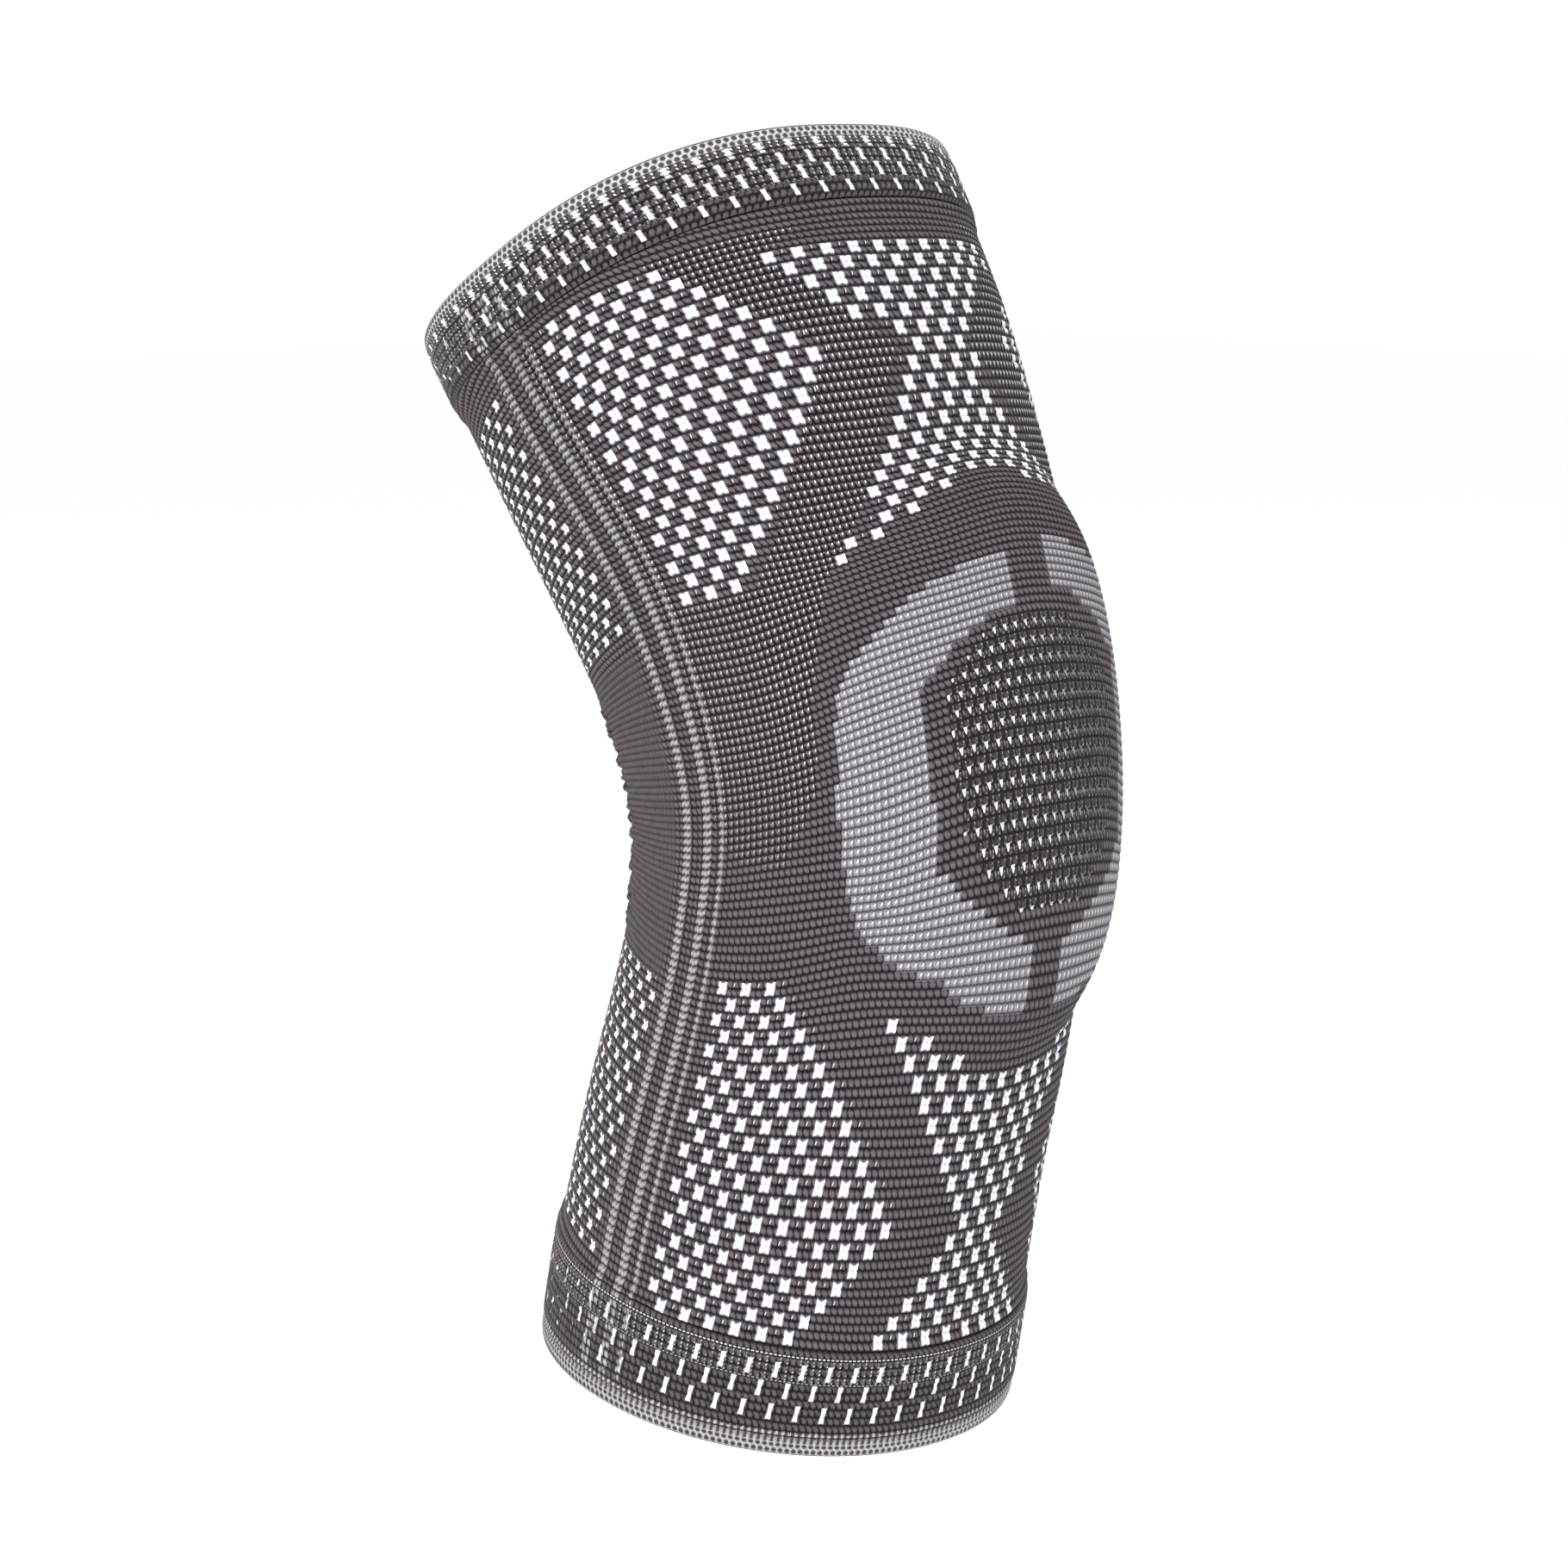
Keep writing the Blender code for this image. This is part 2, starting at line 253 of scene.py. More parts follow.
def smooth(places, values, spot):
    """A smooth curve through values at their places, read at each spot."""
    slopes = np.gradient(values, places, axis=0)
    i = np.clip(np.searchsorted(places, spot) - 1, 0, len(places) - 2)
    step = places[i + 1] - places[i]
    t = (spot - places[i]) / step
    if values.ndim > 1:
        t = t[:, None]
        step = step[:, None]
    start = (1 + 2 * t) * (1 - t) ** 2 * values[i] + t * (1 - t) ** 2 * step * slopes[i]
    end = t * t * (3 - 2 * t) * values[i + 1] - t * t * (1 - t) * step * slopes[i + 1]
    return start + end


axis_along = np.linspace(-LOWER_REACH, UPPER_REACH, AXIS_SAMPLES)
axis_tilt = np.radians(ease(axis_along / BEND_LENGTH + 0.5) * (CALF_TILT + THIGH_TILT) - CALF_TILT)
axis_step = axis_along[1] - axis_along[0]
axis_y = np.cumsum(np.sin(axis_tilt)) * axis_step
axis_z = np.cumsum(np.cos(axis_tilt)) * axis_step
axis_y = axis_y - np.interp(0, axis_along, axis_y)
axis_z = axis_z - np.interp(0, axis_along, axis_z)

cut_along = np.linspace(-LOWER_REACH, UPPER_REACH, ALONG_SAMPLES)
cut_station = np.where(cut_along < 0, cut_along / LOWER_REACH, cut_along / UPPER_REACH)
cut_width, cut_depth, cut_back, cut_square, cut_side = (
    smooth(SECTIONS[:, 0], SECTIONS[:, k], cut_station) for k in range(1, 6)
)
cut_width = cut_width * KNEE_WIDTH / 2
cut_depth = cut_depth * KNEE_DEPTH / 2
cut_back = cut_back * KNEE_DEPTH
cut_grown = np.clip((np.abs(cut_station) - LEAN_START) / (1 - LEAN_START), 0, None) ** LEAN_GROWTH
cut_lean = np.interp(cut_along, axis_along, axis_tilt) + cut_grown * np.radians(
    np.where(cut_station < 0, LOWER_RIM_LEAN, UPPER_RIM_LEAN)
)
cut_y = np.interp(cut_along, axis_along, axis_y)
cut_z = np.interp(cut_along, axis_along, axis_z)

turn = np.linspace(0, math.pi, TURN_SAMPLES)
even_share = np.linspace(0, 1, SHARE_SAMPLES)
cut_across = np.zeros((ALONG_SAMPLES, SHARE_SAMPLES))
cut_deep = np.zeros((ALONG_SAMPLES, SHARE_SAMPLES))
cut_girth = np.zeros(ALONG_SAMPLES)
for row in range(ALONG_SAMPLES):
    power = 2 / cut_square[row]
    across = cut_width[row] * np.sin(turn).clip(0) ** power
    deep = -cut_depth[row] * np.sign(np.cos(turn)) * np.abs(np.cos(turn)) ** power
    girth = np.concatenate([[0], np.cumsum(np.hypot(np.diff(across), np.diff(deep)))])
    cut_across[row] = np.interp(even_share, girth / girth[-1], across)
    cut_deep[row] = np.interp(even_share, girth / girth[-1], deep)
    cut_girth[row] = girth[-1]


def at(values, along):
    return np.interp(along, cut_along, values)


def between(table, along, share):
    """Reads a table of cross-sections between its samples."""
    row = (along + LOWER_REACH) / (LOWER_REACH + UPPER_REACH) * (ALONG_SAMPLES - 1)
    column = share * (SHARE_SAMPLES - 1)
    i = np.clip(np.floor(row).astype(int), 0, ALONG_SAMPLES - 2)
    j = np.clip(np.floor(column).astype(int), 0, SHARE_SAMPLES - 2)
    up = row - i
    on = column - j
    near = table[i, j] * (1 - on) + table[i, j + 1] * on
    far = table[i + 1, j] * (1 - on) + table[i + 1, j + 1] * on
    return near * (1 - up) + far * up


def swell(along, around):
    """How far the cushion ring lifts the knit, with around in metres from the front."""
    height = np.abs(along - SWELL_UP) / (SWELL_HEIGHT / 2)
    width = np.abs(around) / (SWELL_WIDTH / 2)
    oval = (height**SWELL_SQUARE + width**SWELL_SQUARE) ** (1 / SWELL_SQUARE)
    return SWELL_RAISE * ease((1 - oval) * SWELL_HEIGHT / 2 / SWELL_RAMP)


def place(along, share, out):
    """Points by distance along the tube, share of the half girth and offset from the plain knit."""
    along, share, out = np.broadcast_arrays(along, share, out)
    x = between(cut_across, along, np.abs(share))
    d = between(cut_deep, along, np.abs(share))
    half_width = at(cut_width, along)
    half_depth = at(cut_depth, along)
    square = at(cut_square, along) - 1
    normal_x = (x / half_width) ** square / half_width
    normal_d = np.sign(d) * (np.abs(d) / half_depth) ** square / half_depth
    size = np.hypot(normal_x, normal_d)
    lift = out + swell(along, share * at(cut_girth, along))
    x = x + lift * normal_x / size
    d = d + lift * normal_d / size + at(cut_back, along)
    lean = at(cut_lean, along)
    y = at(cut_y, along) + d * np.cos(lean)
    z = at(cut_z, along) - d * np.sin(lean)
    return np.stack([np.sign(share) * x, y, z], -1)


# Where the wales run: 110 to each side from the front, as shares of the half girth
HALF_WALES = 110
WALE_PLACES = (0, 15, 30, 45, 58, HALF_WALES)
WALE_SHARES = (0.0, 0.131, 0.257, 0.389, 0.512, 1.0)

# Where the courses run, in millimetres along the tube: a course, then its places on wales 0, 15, 30, 45,
# 57 and 78, bowed over the kneecap. Wale -15 is the same as 15, and the back, at 110, the same as 78.
COURSE_WALES = np.array((-15, 0, 15, 30, 45, 57, 78, 110.0))
COURSE_LINES = np.array(
    (
        (-74, -144, -144, -144, -144, -144, -144),
        (-70, -139, -138, -136.5, -136, -136, -136),
        (-60, -116.5, -116.5, -116.5, -117, -117.5, -116.5),
        (-50, -93, -93.5, -95, -97, -97.5, -97.5),
        (-40, -67.5, -67.5, -69.5, -74, -77, -77.5),
        (-30, -45, -44, -47, -53, -57, -57.5),
        (-20, -24, -25, -28, -34.5, -38, -37.5),
        (-10, -6, -7, -11.5, -15, -18.5, -18),
        (0, 9.5, 9, 5.5, 1.5, -0.5, -1),
        (10, 24, 22.5, 20, 17, 17, 18),
        (20, 37, 35.5, 34.5, 33.5, 35.5, 34),
        (30, 49, 47, 47, 50.5, 53, 51),
        (40, 61, 61, 64, 68, 70, 67.5),
        (50, 81.5, 82.5, 85, 87.5, 87, 84),
        (60, 101.5, 102.5, 103.5, 105.5, 105, 99.5),
        (70, 118.5, 118, 119.5, 122, 121.5, 117),
        (80, 135, 135, 135, 135, 135, 135),
    )
)


def near_wale(wale):
    """The wale's number counted the short way round from the front."""
    return (wale + HALF_WALES) % (2 * HALF_WALES) - HALF_WALES


def along_at(course, wale):
    """How far along the tube each course lies on each wale, as a table of courses by wales."""
    count = np.abs(near_wale(wale))
    lines = COURSE_LINES[:, 1:].T / 1000
    lines = np.concatenate([lines[1:2], lines, lines[-1:]])  # for wale -15, for 0 to 78, for 110
    crossed = smooth(COURSE_WALES, lines, count).T
    return smooth(COURSE_LINES[:, 0], crossed, course)


def share_at(along, wale):
    """The share of the half girth that each wale has come to: wales are drawn forward at the kneecap."""
    count = near_wale(wale)
    share = np.sign(count) * np.interp(np.abs(count), WALE_PLACES, WALE_SHARES)
    return share + np.sign(count) * (at(cut_side, along) - 0.5) * np.sin(math.pi * np.abs(share))


# Knitted colour zones, as outlines in courses and wales. Each is alike on both sides of the front.
UPPER_SIDE_CHECKS = (
    (64.5, 52), (64.5, 32), (62.5, 30), (58.5, 26), (54.5, 21.5), (50, 16.5), (46, 21), (42, 25),
    (38, 28.5), (34, 32.5), (30, 37.5), (25.5, 41.5), (25.5, 52),
)
UPPER_FRONT_CHECKS = (
    (64, 0), (64, 22), (60, 19), (56, 14.5), (52, 8.5), (50, 6), (47, 8), (43, 11.5), (40, 15), (36, 18),
    (32, 20.5), (29, 24), (26, 29), (25, 28), (28, 20), (30, 14), (31.5, 9), (33, 3), (33, 0),
)
LOWER_SIDE_CHECKS = (
    (-20.5, 39.5), (-21, 52), (-57, 52), (-59.5, 50), (-59.5, 29), (-56, 24), (-52, 20),
    (-48, 16.5), (-46.5, 15), (-43, 18.5), (-39, 22), (-35, 25.5), (-31, 29), (-27, 33), (-23, 37),
)
LOWER_FRONT_CHECKS = (
    (-33, 0), (-31, 9), (-29, 15), (-26, 24), (-31, 20.5), (-35, 16), (-39, 12.5), (-43, 9), (-47.5, 5),
    (-51, 8.5), (-55, 12), (-59.5, 16.5), (-59.5, 0),
)
FRONT_REACH = ((-59.5, 22), (-47, 10), (-23, 30))  # parts the two lower fields
BACK_START = 62.5  # parts the side and back fields
UPPER_BACK_CHECKS = ((25, 64.3), (63, 64.3), (63, 111), (25, 111))
LOWER_BACK_CHECKS = ((-58, 64.8), (-22, 64.8), (-22, 111), (-58, 111))
CRESCENT = (
    (20.5, 3), (20, 10), (18.3, 17.5), (16.4, 22.5), (14.5, 26.2), (12.8, 30), (10.9, 32), (9, 33),
    (4.5, 34), (-2.4, 34.7), (-7.3, 34), (-10.4, 33), (-13.5, 32), (-16.3, 30), (-17.8, 28.2),
    (-19.2, 26.2), (-20.7, 23.3), (-22.4, 17.6), (-23.6, 15.7), (-24.8, 13), (-25.8, 9.2), (-25.8, 3),
    (-20, 3), (-18.7, 7.3), (-17.4, 10), (-16.8, 12), (-15.6, 13.8), (-14.9, 15.7), (-13.7, 16.7),
    (-11.5, 19.5), (-8.4, 20.5), (-5.3, 20.5), (-0.9, 21.4), (3.1, 20.6), (7.5, 20.5), (7.9, 18.6),
    (9.2, 16.7), (10.4, 14.8), (11.7, 11.1), (13, 8.3), (13.4, 3),
)
KNEECAP_FIELD = (
    (12.5, 0), (12.5, 5), (11, 9), (9, 13), (6.5, 16.5), (2, 17), (-4, 17), (-8, 16), (-11, 14),
    (-14, 11), (-16.5, 7), (-17.5, 0),
)
SPECKLED = (
    (66, 14), (66, 34), (56, 24), (51, 17), (46, 22), (40, 27), (33, 33), (25, 40), (25, 53), (64, 53),
    (64, 55.5), (20, 55.5), (0, 55.5), (-6, 52), (-8, 44), (0, 38), (10, 37), (18, 33), (24, 30),
    (28, 26), (34, 20), (42, 14), (50, 7), (56, 14), (62, 20),
)

# Raised grey ribs down each side: middle wale and half width, in wales
SIDE_RIBS = ((54.2, 0.22), (57.0, 0.60), (61.2, 0.60))
SIDE_RIB_RAISE = 0.0009
SIDE_RIB_ENDS = 0.0125
SIDE_RIB_AT_HEMS = 0.35  # the share of the ribs' height that is left at the hems
SIDE_RIB_EDGE = 0.45
SIDE_RIB_BLUR = 0.6
BACK_RIB_RAISE = 0.0010
BACK_RIB_COUNT = 16
BACK_RIBS_ABOVE = 0.038
BACK_RIBS_BELOW = 0.042
BACK_RIBS_REACH = 0.40
BACK_RIBS_SIDE_FADE = 0.13
BACK_RIBS_END_FADE = 0.2
UPPER_WELT_DEPTH = 0.018
LOWER_WELT_DEPTH = 0.027
HEM_SWELL = 0.0010  # how far the hem's end lifts the tube beside the seam
HEM_SWELL_REACH = 0.0045
HEM_SWELL_START = 0.0004
COURSE_RAISE = 0.00024
WALE_GROOVE = 0.00010
CHECK_RAISE = 0.00007
CREST_POWER = 2.2  # how square a course of loops is
BACK_CHECK_START = 64
BACK_CHECK_SIZE = 0.82


def inside(outline, course, wale):
    """Whether points lie inside a zone's outline."""
    found = np.zeros(np.broadcast(course, wale).shape, bool)
    for (c0, w0), (c1, w1) in zip(outline, (*outline[1:], outline[0])):
        if w0 != w1:
            crosses = (wale < w0) != (wale < w1)
            found ^= crosses & (course < c0 + (wale - w0) * (c1 - c0) / (w1 - w0))
    return found


def check_zones(course, wale):
    """Where whole checks are knitted in white, and the number of each point's row of checks.

    A check is two wales by two courses. Rows of checks are shifted by a course below the knee, and the
    whites trade places with the darks from one field to the next.
    """
    column = np.floor(wale / 2)
    shown = np.zeros(course.shape, bool)
    rows = (course + 1) / 2
    below = course < 0
    rows[below] = course[below] / 2
    count = np.abs(near_wale(wale))
    traded = (count < BACK_START) & (~below | (count > np.interp(course, *np.transpose(FRONT_REACH))))
    rows[traded] += 1
    row = np.floor(rows) - traded
    middle_course = 2 * row + below
    middle_wale = np.abs(near_wale(2 * column + 1))
    upper = (UPPER_SIDE_CHECKS, UPPER_FRONT_CHECKS, UPPER_BACK_CHECKS)
    lower = (LOWER_SIDE_CHECKS, LOWER_FRONT_CHECKS, LOWER_BACK_CHECKS)
    for outline in (*upper, *lower):
        shown |= inside(outline, middle_course, middle_wale)
    return shown * np.where(count > BACK_CHECK_START, BACK_CHECK_SIZE, 1.0), rows


def side_rib(wale):
    """The side ribs' rounded profile across the wales, from 0 to 1."""
    count = np.abs(near_wale(wale))
    rise = np.zeros(count.shape)
    for middle, half in SIDE_RIBS:
        rise = np.maximum(rise, ease((half + SIDE_RIB_EDGE - np.abs(count - middle)) / SIDE_RIB_BLUR))
    return rise


def knit_relief(course, wale, along, share, checks):
    """How far each point of the tube's outer face stands out, from its courses, loops and ribs."""
    across = np.abs(2 * (wale % 1) - 1)
    up = course % 1
    crest = 1 - np.abs(2 * up - 1) ** CREST_POWER
    rise = COURSE_RAISE * crest - COURSE_RAISE / 2
    rise = rise - WALE_GROOVE * (1 - crest) * (1 - across)
    rise = rise + CHECK_RAISE * checks * crest
    ends = ease((along + LOWER_REACH - LOWER_WELT_DEPTH) / SIDE_RIB_ENDS)
    ends = ends * ease((UPPER_REACH - UPPER_WELT_DEPTH - along) / SIDE_RIB_ENDS)
    ends = SIDE_RIB_AT_HEMS + (1 - SIDE_RIB_AT_HEMS) * ends
    rise = rise + SIDE_RIB_RAISE * side_rib(wale) * ends * (0.78 + 0.22 * crest)
    middle = (BACK_RIBS_ABOVE - BACK_RIBS_BELOW) / 2
    half_zone = (BACK_RIBS_ABOVE + BACK_RIBS_BELOW) / 2
    rib_ends = ease((1 - np.abs(along - middle) / half_zone) / BACK_RIBS_END_FADE)
    around = ease((np.abs(share) - 1 + BACK_RIBS_REACH) / BACK_RIBS_SIDE_FADE)
    sway = 0.22 * np.sin(wale * 0.31 + along * 160) + 0.12 * np.sin(wale * 0.83 - along * 410)
    beat = (along + BACK_RIBS_BELOW) / (2 * half_zone) * BACK_RIB_COUNT + sway
    beat = (0.5 - 0.5 * np.cos(beat * 2 * math.pi)) * (0.75 + 0.25 * np.sin(wale * 0.21 + along * 700))
    rise = rise + BACK_RIB_RAISE * rib_ends * around * beat
    seam = np.minimum(along + LOWER_REACH - LOWER_WELT_DEPTH, UPPER_REACH - UPPER_WELT_DEPTH - along)
    return rise + HEM_SWELL * ease(1 - seam / HEM_SWELL_REACH) * ease(seam / HEM_SWELL_START)


KNIT = 0.0014
ROWS_A_COURSE = 4
COLUMNS_A_WALE = 3
INSIDE_ROWS = 12
INSIDE_COLUMNS = 6
LAST_LOWER_COURSE = -62
LAST_UPPER_COURSE = 73
LOWER_END_COURSE = -70.5
UPPER_END_COURSE = 76.5
ROWS_UNDER_HEM = 6
UNDER_HEM_SINK = 0.00035  # how far the tube is drawn in where a hem covers it
UNDER_HEM_RAMP = 0.0012
EDGING_HEIGHT = 0.0048
GAP = 0.0003
WELT_FOLD = 0.0012
FAR_CRESCENT_UP = 1.6  # how much higher and farther out the far crescent's top lies
FAR_CRESCENT_OUT = 1.8
FAR_CRESCENT_RAMP = 14


def grid_faces(index):
    """Faces of a grid of points that faces outward, its rows going up and its columns round."""
    corners = [index[:-1, :-1], index[:-1, 1:], index[1:, 1:], index[1:, :-1]]
    return np.stack([corner.ravel() for corner in corners], 1)


def close_wall(outer, inner, row_step, column_step):
    """Faces of a closed panel: a fine outer grid, a coarse inner one, and walls round their edges."""
    faces = grid_faces(outer).tolist()
    outside_count = len(faces)
    faces += grid_faces(inner)[:, ::-1].tolist()
    for i in range(inner.shape[0] - 1):
        run = outer[i * row_step : (i + 1) * row_step + 1]
        faces.append([*run[:, 0].tolist(), int(inner[i + 1, 0]), int(inner[i, 0])])
        faces.append([*run[:, -1].tolist()[::-1], int(inner[i, -1]), int(inner[i + 1, -1])])
    for j in range(inner.shape[1] - 1):
        run = outer[:, j * column_step : (j + 1) * column_step + 1]
        faces.append([*run[0].tolist()[::-1], int(inner[0, j]), int(inner[0, j + 1])])
        faces.append([*run[-1].tolist(), int(inner[-1, j + 1]), int(inner[-1, j])])
    return faces, outside_count


def bake_map(ups, ons):
    """A place on the map for baking for each point of a grid."""
    return np.stack(np.meshgrid(ons, ups), -1).reshape(-1, 2)


def make_cloth(name, points, faces, fields, bake, finish, outside_count):
    """A mesh with the knit's fields on its points, and a map for baking."""
    mesh = bpy.data.meshes.new(name)
    mesh.from_pydata(points.tolist(), [], faces)
    for key, values in fields.items():
        layer = mesh.attributes.new(key, "FLOAT", "POINT")
        layer.data.foreach_set("value", np.ascontiguousarray(values, np.float32))
    flat = mesh.uv_layers.new(name="OFBake")
    corners = np.zeros(len(mesh.loops), np.int32)
    mesh.loops.foreach_get("vertex_index", corners)
    flat.data.foreach_set("uv", np.ascontiguousarray(bake[corners], np.float32).ravel())
    smooth_faces = np.zeros(len(faces), bool)
    smooth_faces[:outside_count] = True
    mesh.polygons.foreach_set("use_smooth", smooth_faces)
    mesh.materials.append(finish)
    mesh.update()
    piece = bpy.data.objects.new(name, mesh)
    bpy.context.scene.collection.objects.link(piece)
    return piece


def under_hems(low, middle, high):
    """Rows of values drawn on from both ends, by the coarse rows that the hems cover."""
    before = np.linspace(low, middle[0], ROWS_UNDER_HEM + 1)[:-1]
    after = np.linspace(middle[-1], high, ROWS_UNDER_HEM + 1)[1:]
    return np.concatenate([before, middle, after])


def make_panel(name, first_wale, last_wale, finish):
    """A panel of the tube between two wales, from hem to hem."""
    fine = np.arange(LAST_LOWER_COURSE * ROWS_A_COURSE, LAST_UPPER_COURSE * ROWS_A_COURSE + 1)
    fine = fine / ROWS_A_COURSE
    short = EDGING_HEIGHT + GAP + WELT_FOLD + GAP
    wale = np.arange(first_wale * COLUMNS_A_WALE, last_wale * COLUMNS_A_WALE + 1) / COLUMNS_A_WALE
    along = along_at(fine, wale)
    along = under_hems(-LOWER_REACH + short, along, UPPER_REACH - short)
    course = under_hems(LOWER_END_COURSE, fine, UPPER_END_COURSE)
    course = np.broadcast_to(course[:, None], along.shape)
    wale = np.broadcast_to(wale, along.shape)
    share = share_at(along, wale)
    checks, check_row = check_zones(course.copy(), wale)
    rise = knit_relief(course, wale, along, share, checks)
    under_hem = np.maximum(-LOWER_REACH + LOWER_WELT_DEPTH - along, along - UPPER_REACH + UPPER_WELT_DEPTH)
    rise = rise - UNDER_HEM_SINK * ease((under_hem + UNDER_HEM_RAMP) / UNDER_HEM_RAMP)
    outer = place(along, share, rise)
    inner = place(along, share, -KNIT)[::INSIDE_ROWS, ::INSIDE_COLUMNS]
    rows, columns = along.shape
    if (rows - 1) % INSIDE_ROWS or (columns - 1) % INSIDE_COLUMNS:
        raise ValueError(f"{name}: {rows - 1} rows, {columns - 1} columns")
    count = np.abs(near_wale(wale))
    stitch_course = np.floor(course) + 0.5
    stitch_wale = near_wale(np.floor(wale) + 0.5)
    lift = (stitch_wale > 0) * ease(stitch_course / FAR_CRESCENT_RAMP)
    stitch_wale = np.abs(stitch_wale)
    crescent_course = stitch_course - FAR_CRESCENT_UP * lift
    fading = np.maximum(ease((47 - count) / 8), ease((course - 24) / 6))
    specks = inside(SPECKLED, course, count) * ease((course + 12) / 24) * (0.35 + 0.65 * fading)
    fields = {
        "course": course,
        "wale": wale,
        "check_row": check_row,
        "checks": checks,
        "grey": inside(CRESCENT, crescent_course, stitch_wale - FAR_CRESCENT_OUT * lift),
        "teeth": inside(KNEECAP_FIELD, stitch_course, stitch_wale),
        "specks": specks,
        "rib": side_rib(wale),
        "behind": ease((count - 63.5) / 1.5) * ease((23 - np.abs(course)) / 1.5),
        "inside": np.zeros(along.shape),
    }
    inner_fields = {key: np.zeros(inner.shape[:2]) for key in fields}
    inner_fields["course"] = course[::INSIDE_ROWS, ::INSIDE_COLUMNS]
    inner_fields["wale"] = wale[::INSIDE_ROWS, ::INSIDE_COLUMNS]
    inner_fields["inside"] = np.ones(inner.shape[:2])
    points = np.concatenate([outer.reshape(-1, 3), inner.reshape(-1, 3)])
    both = {key: np.concatenate([fields[key].ravel(), inner_fields[key].ravel()]) for key in fields}
    up = np.linspace(0.005, 0.995, rows)
    bake = bake_map(up, np.linspace(0.005, 0.835, columns))
    inner_bake = bake_map(up[::INSIDE_ROWS], np.linspace(0.865, 0.995, inner.shape[1]))
    outer_index = np.arange(rows * columns).reshape(rows, columns)
    inner_index = rows * columns + np.arange(inner.shape[0] * inner.shape[1]).reshape(inner.shape[:2])
    faces, outside_count = close_wall(outer_index, inner_index, INSIDE_ROWS, INSIDE_COLUMNS)
    bake = np.concatenate([bake, inner_bake])
    return make_cloth(name, points, faces, both, bake, finish, outside_count)


def new_finish(name, roughness, sheen):
    """A matte yarn finish, ready for its colour and its bump."""
    finish = bpy.data.materials.new(name)
    finish.use_nodes = True
    shader = finish.node_tree.nodes["Principled BSDF"]
    shader.inputs["Roughness"].default_value = roughness
    shader.inputs["Specular IOR Level"].default_value = 0.12
    shader.inputs["Sheen Weight"].default_value = sheen
    shader.inputs["Sheen Roughness"].default_value = 0.5
    return finish


def blend(tree, factor, first, second):
    """One colour turning to another by a factor."""
    colours = [value if isinstance(value, Strand) else (*value, 1.0) for value in (first, second)]
    settings = {"data_type": "RGBA"}
    return put(tree, "ShaderNodeMix", settings, {0: factor, 6: colours[0], 7: colours[1]}, out=2)


def shade(tree, colour, height, strength=0.8, distance=0.00025):
    """Finishes a material from its colour and its height."""
    shader = tree.nodes["Principled BSDF"]
    join(tree, colour, shader.inputs["Base Color"])
    settings = {"Strength": strength, "Distance": distance, "Height": height}
    join(tree, put(tree, "ShaderNodeBump", (), settings), shader.inputs["Normal"])


def field(tree, name):
    """A field that the mesh carries on its points."""
    return put(tree, "ShaderNodeAttribute", {"attribute_name": name}, (), out=2)


def mottle(tree, x, y, seed, detail):
    """Soft noise over the knit, about 0 to 1."""
    spot = put(tree, "ShaderNodeCombineXYZ", (), {0: x, 1: y, 2: seed})
    return put(tree, "ShaderNodeTexNoise", (), {"Vector": spot, "Scale": 1.0, "Detail": detail})


def fibres(tree, wale, course, seed):
    """Fine streaks of fibre, drawn out along the slanting strands."""
    return mottle(tree, wale * 5.5 + course * 1.8, course * 1.6, seed, 2.0)


def oval_spot(across, up, middle, size, slant, blur=0.35):
    """A small slanting oval, 1 inside and 0 outside."""
    x = (across - middle[0] - (up - middle[1]) * slant) / size[0]
    y = (up - middle[1]) / size[1]
    return (x * x + y * y).below(1.0, blur * 2)


# Each yarn's darker colour below mostly stands for painted shade in the grooves, gaps and holes between
# loops.
CHARCOAL = (0.112, 0.096, 0.109)
CHARCOAL_DARK_AND_SHADE = (0.010, 0.007, 0.010)
# Painted shade: near black for holes, furrows and the shadows beside dashes.
BLACK_SHADE = (0.004, 0.003, 0.004)
WHITE = (0.78, 0.77, 0.80)
WHITE_SHADE = (0.36, 0.34, 0.42)
GREY = (0.275, 0.260, 0.284)
GREY_SHADE = (0.040, 0.033, 0.043)
RIB_GREY = (0.400, 0.380, 0.405)
RIB_SHADE = (0.014, 0.011, 0.014)
SPECK = (0.80, 0.79, 0.83)
GLINT = (0.80, 0.79, 0.82)
STEM = (0.60, 0.58, 0.62)
HALO = (0.17, 0.155, 0.20)
DASH = (0.72, 0.70, 0.75)
CHECK_CENTRE_SHADE = (0.40, 0.38, 0.45)
PILE_DARK_AND_SHADE = (0.010, 0.008, 0.010)
PILE = (0.120, 0.103, 0.117)
LINING_SHADE = (0.030, 0.025, 0.031)
LINING = (0.120, 0.106, 0.120)


def knit_loops(course, wale, up, streaks):
    """How lit each loop is, as painted light and shade: rounded courses of loops that lean over, with a
    dark gap at each wale.
    """
    crest = 1 - abs(up * 2 - 1) ** 1.9
    lean = abs((wale + up * 0.5).part() * 2 - 1)
    gap = lean.above(0.72, 0.45)
    pinch = (1.35 - up * 2.4 - abs(lean - 1) * 1.5).held()
    loops = crest * (1 - gap * 0.72)
    # Painted shade: crests lit, and the grooves, gaps and pinches between the loops darkened in the
    # colour.
    lit = (loops * (0.36 + streaks * 1.6) - pinch * 0.9 - 0.16).held()
    return loops, pinch, lit


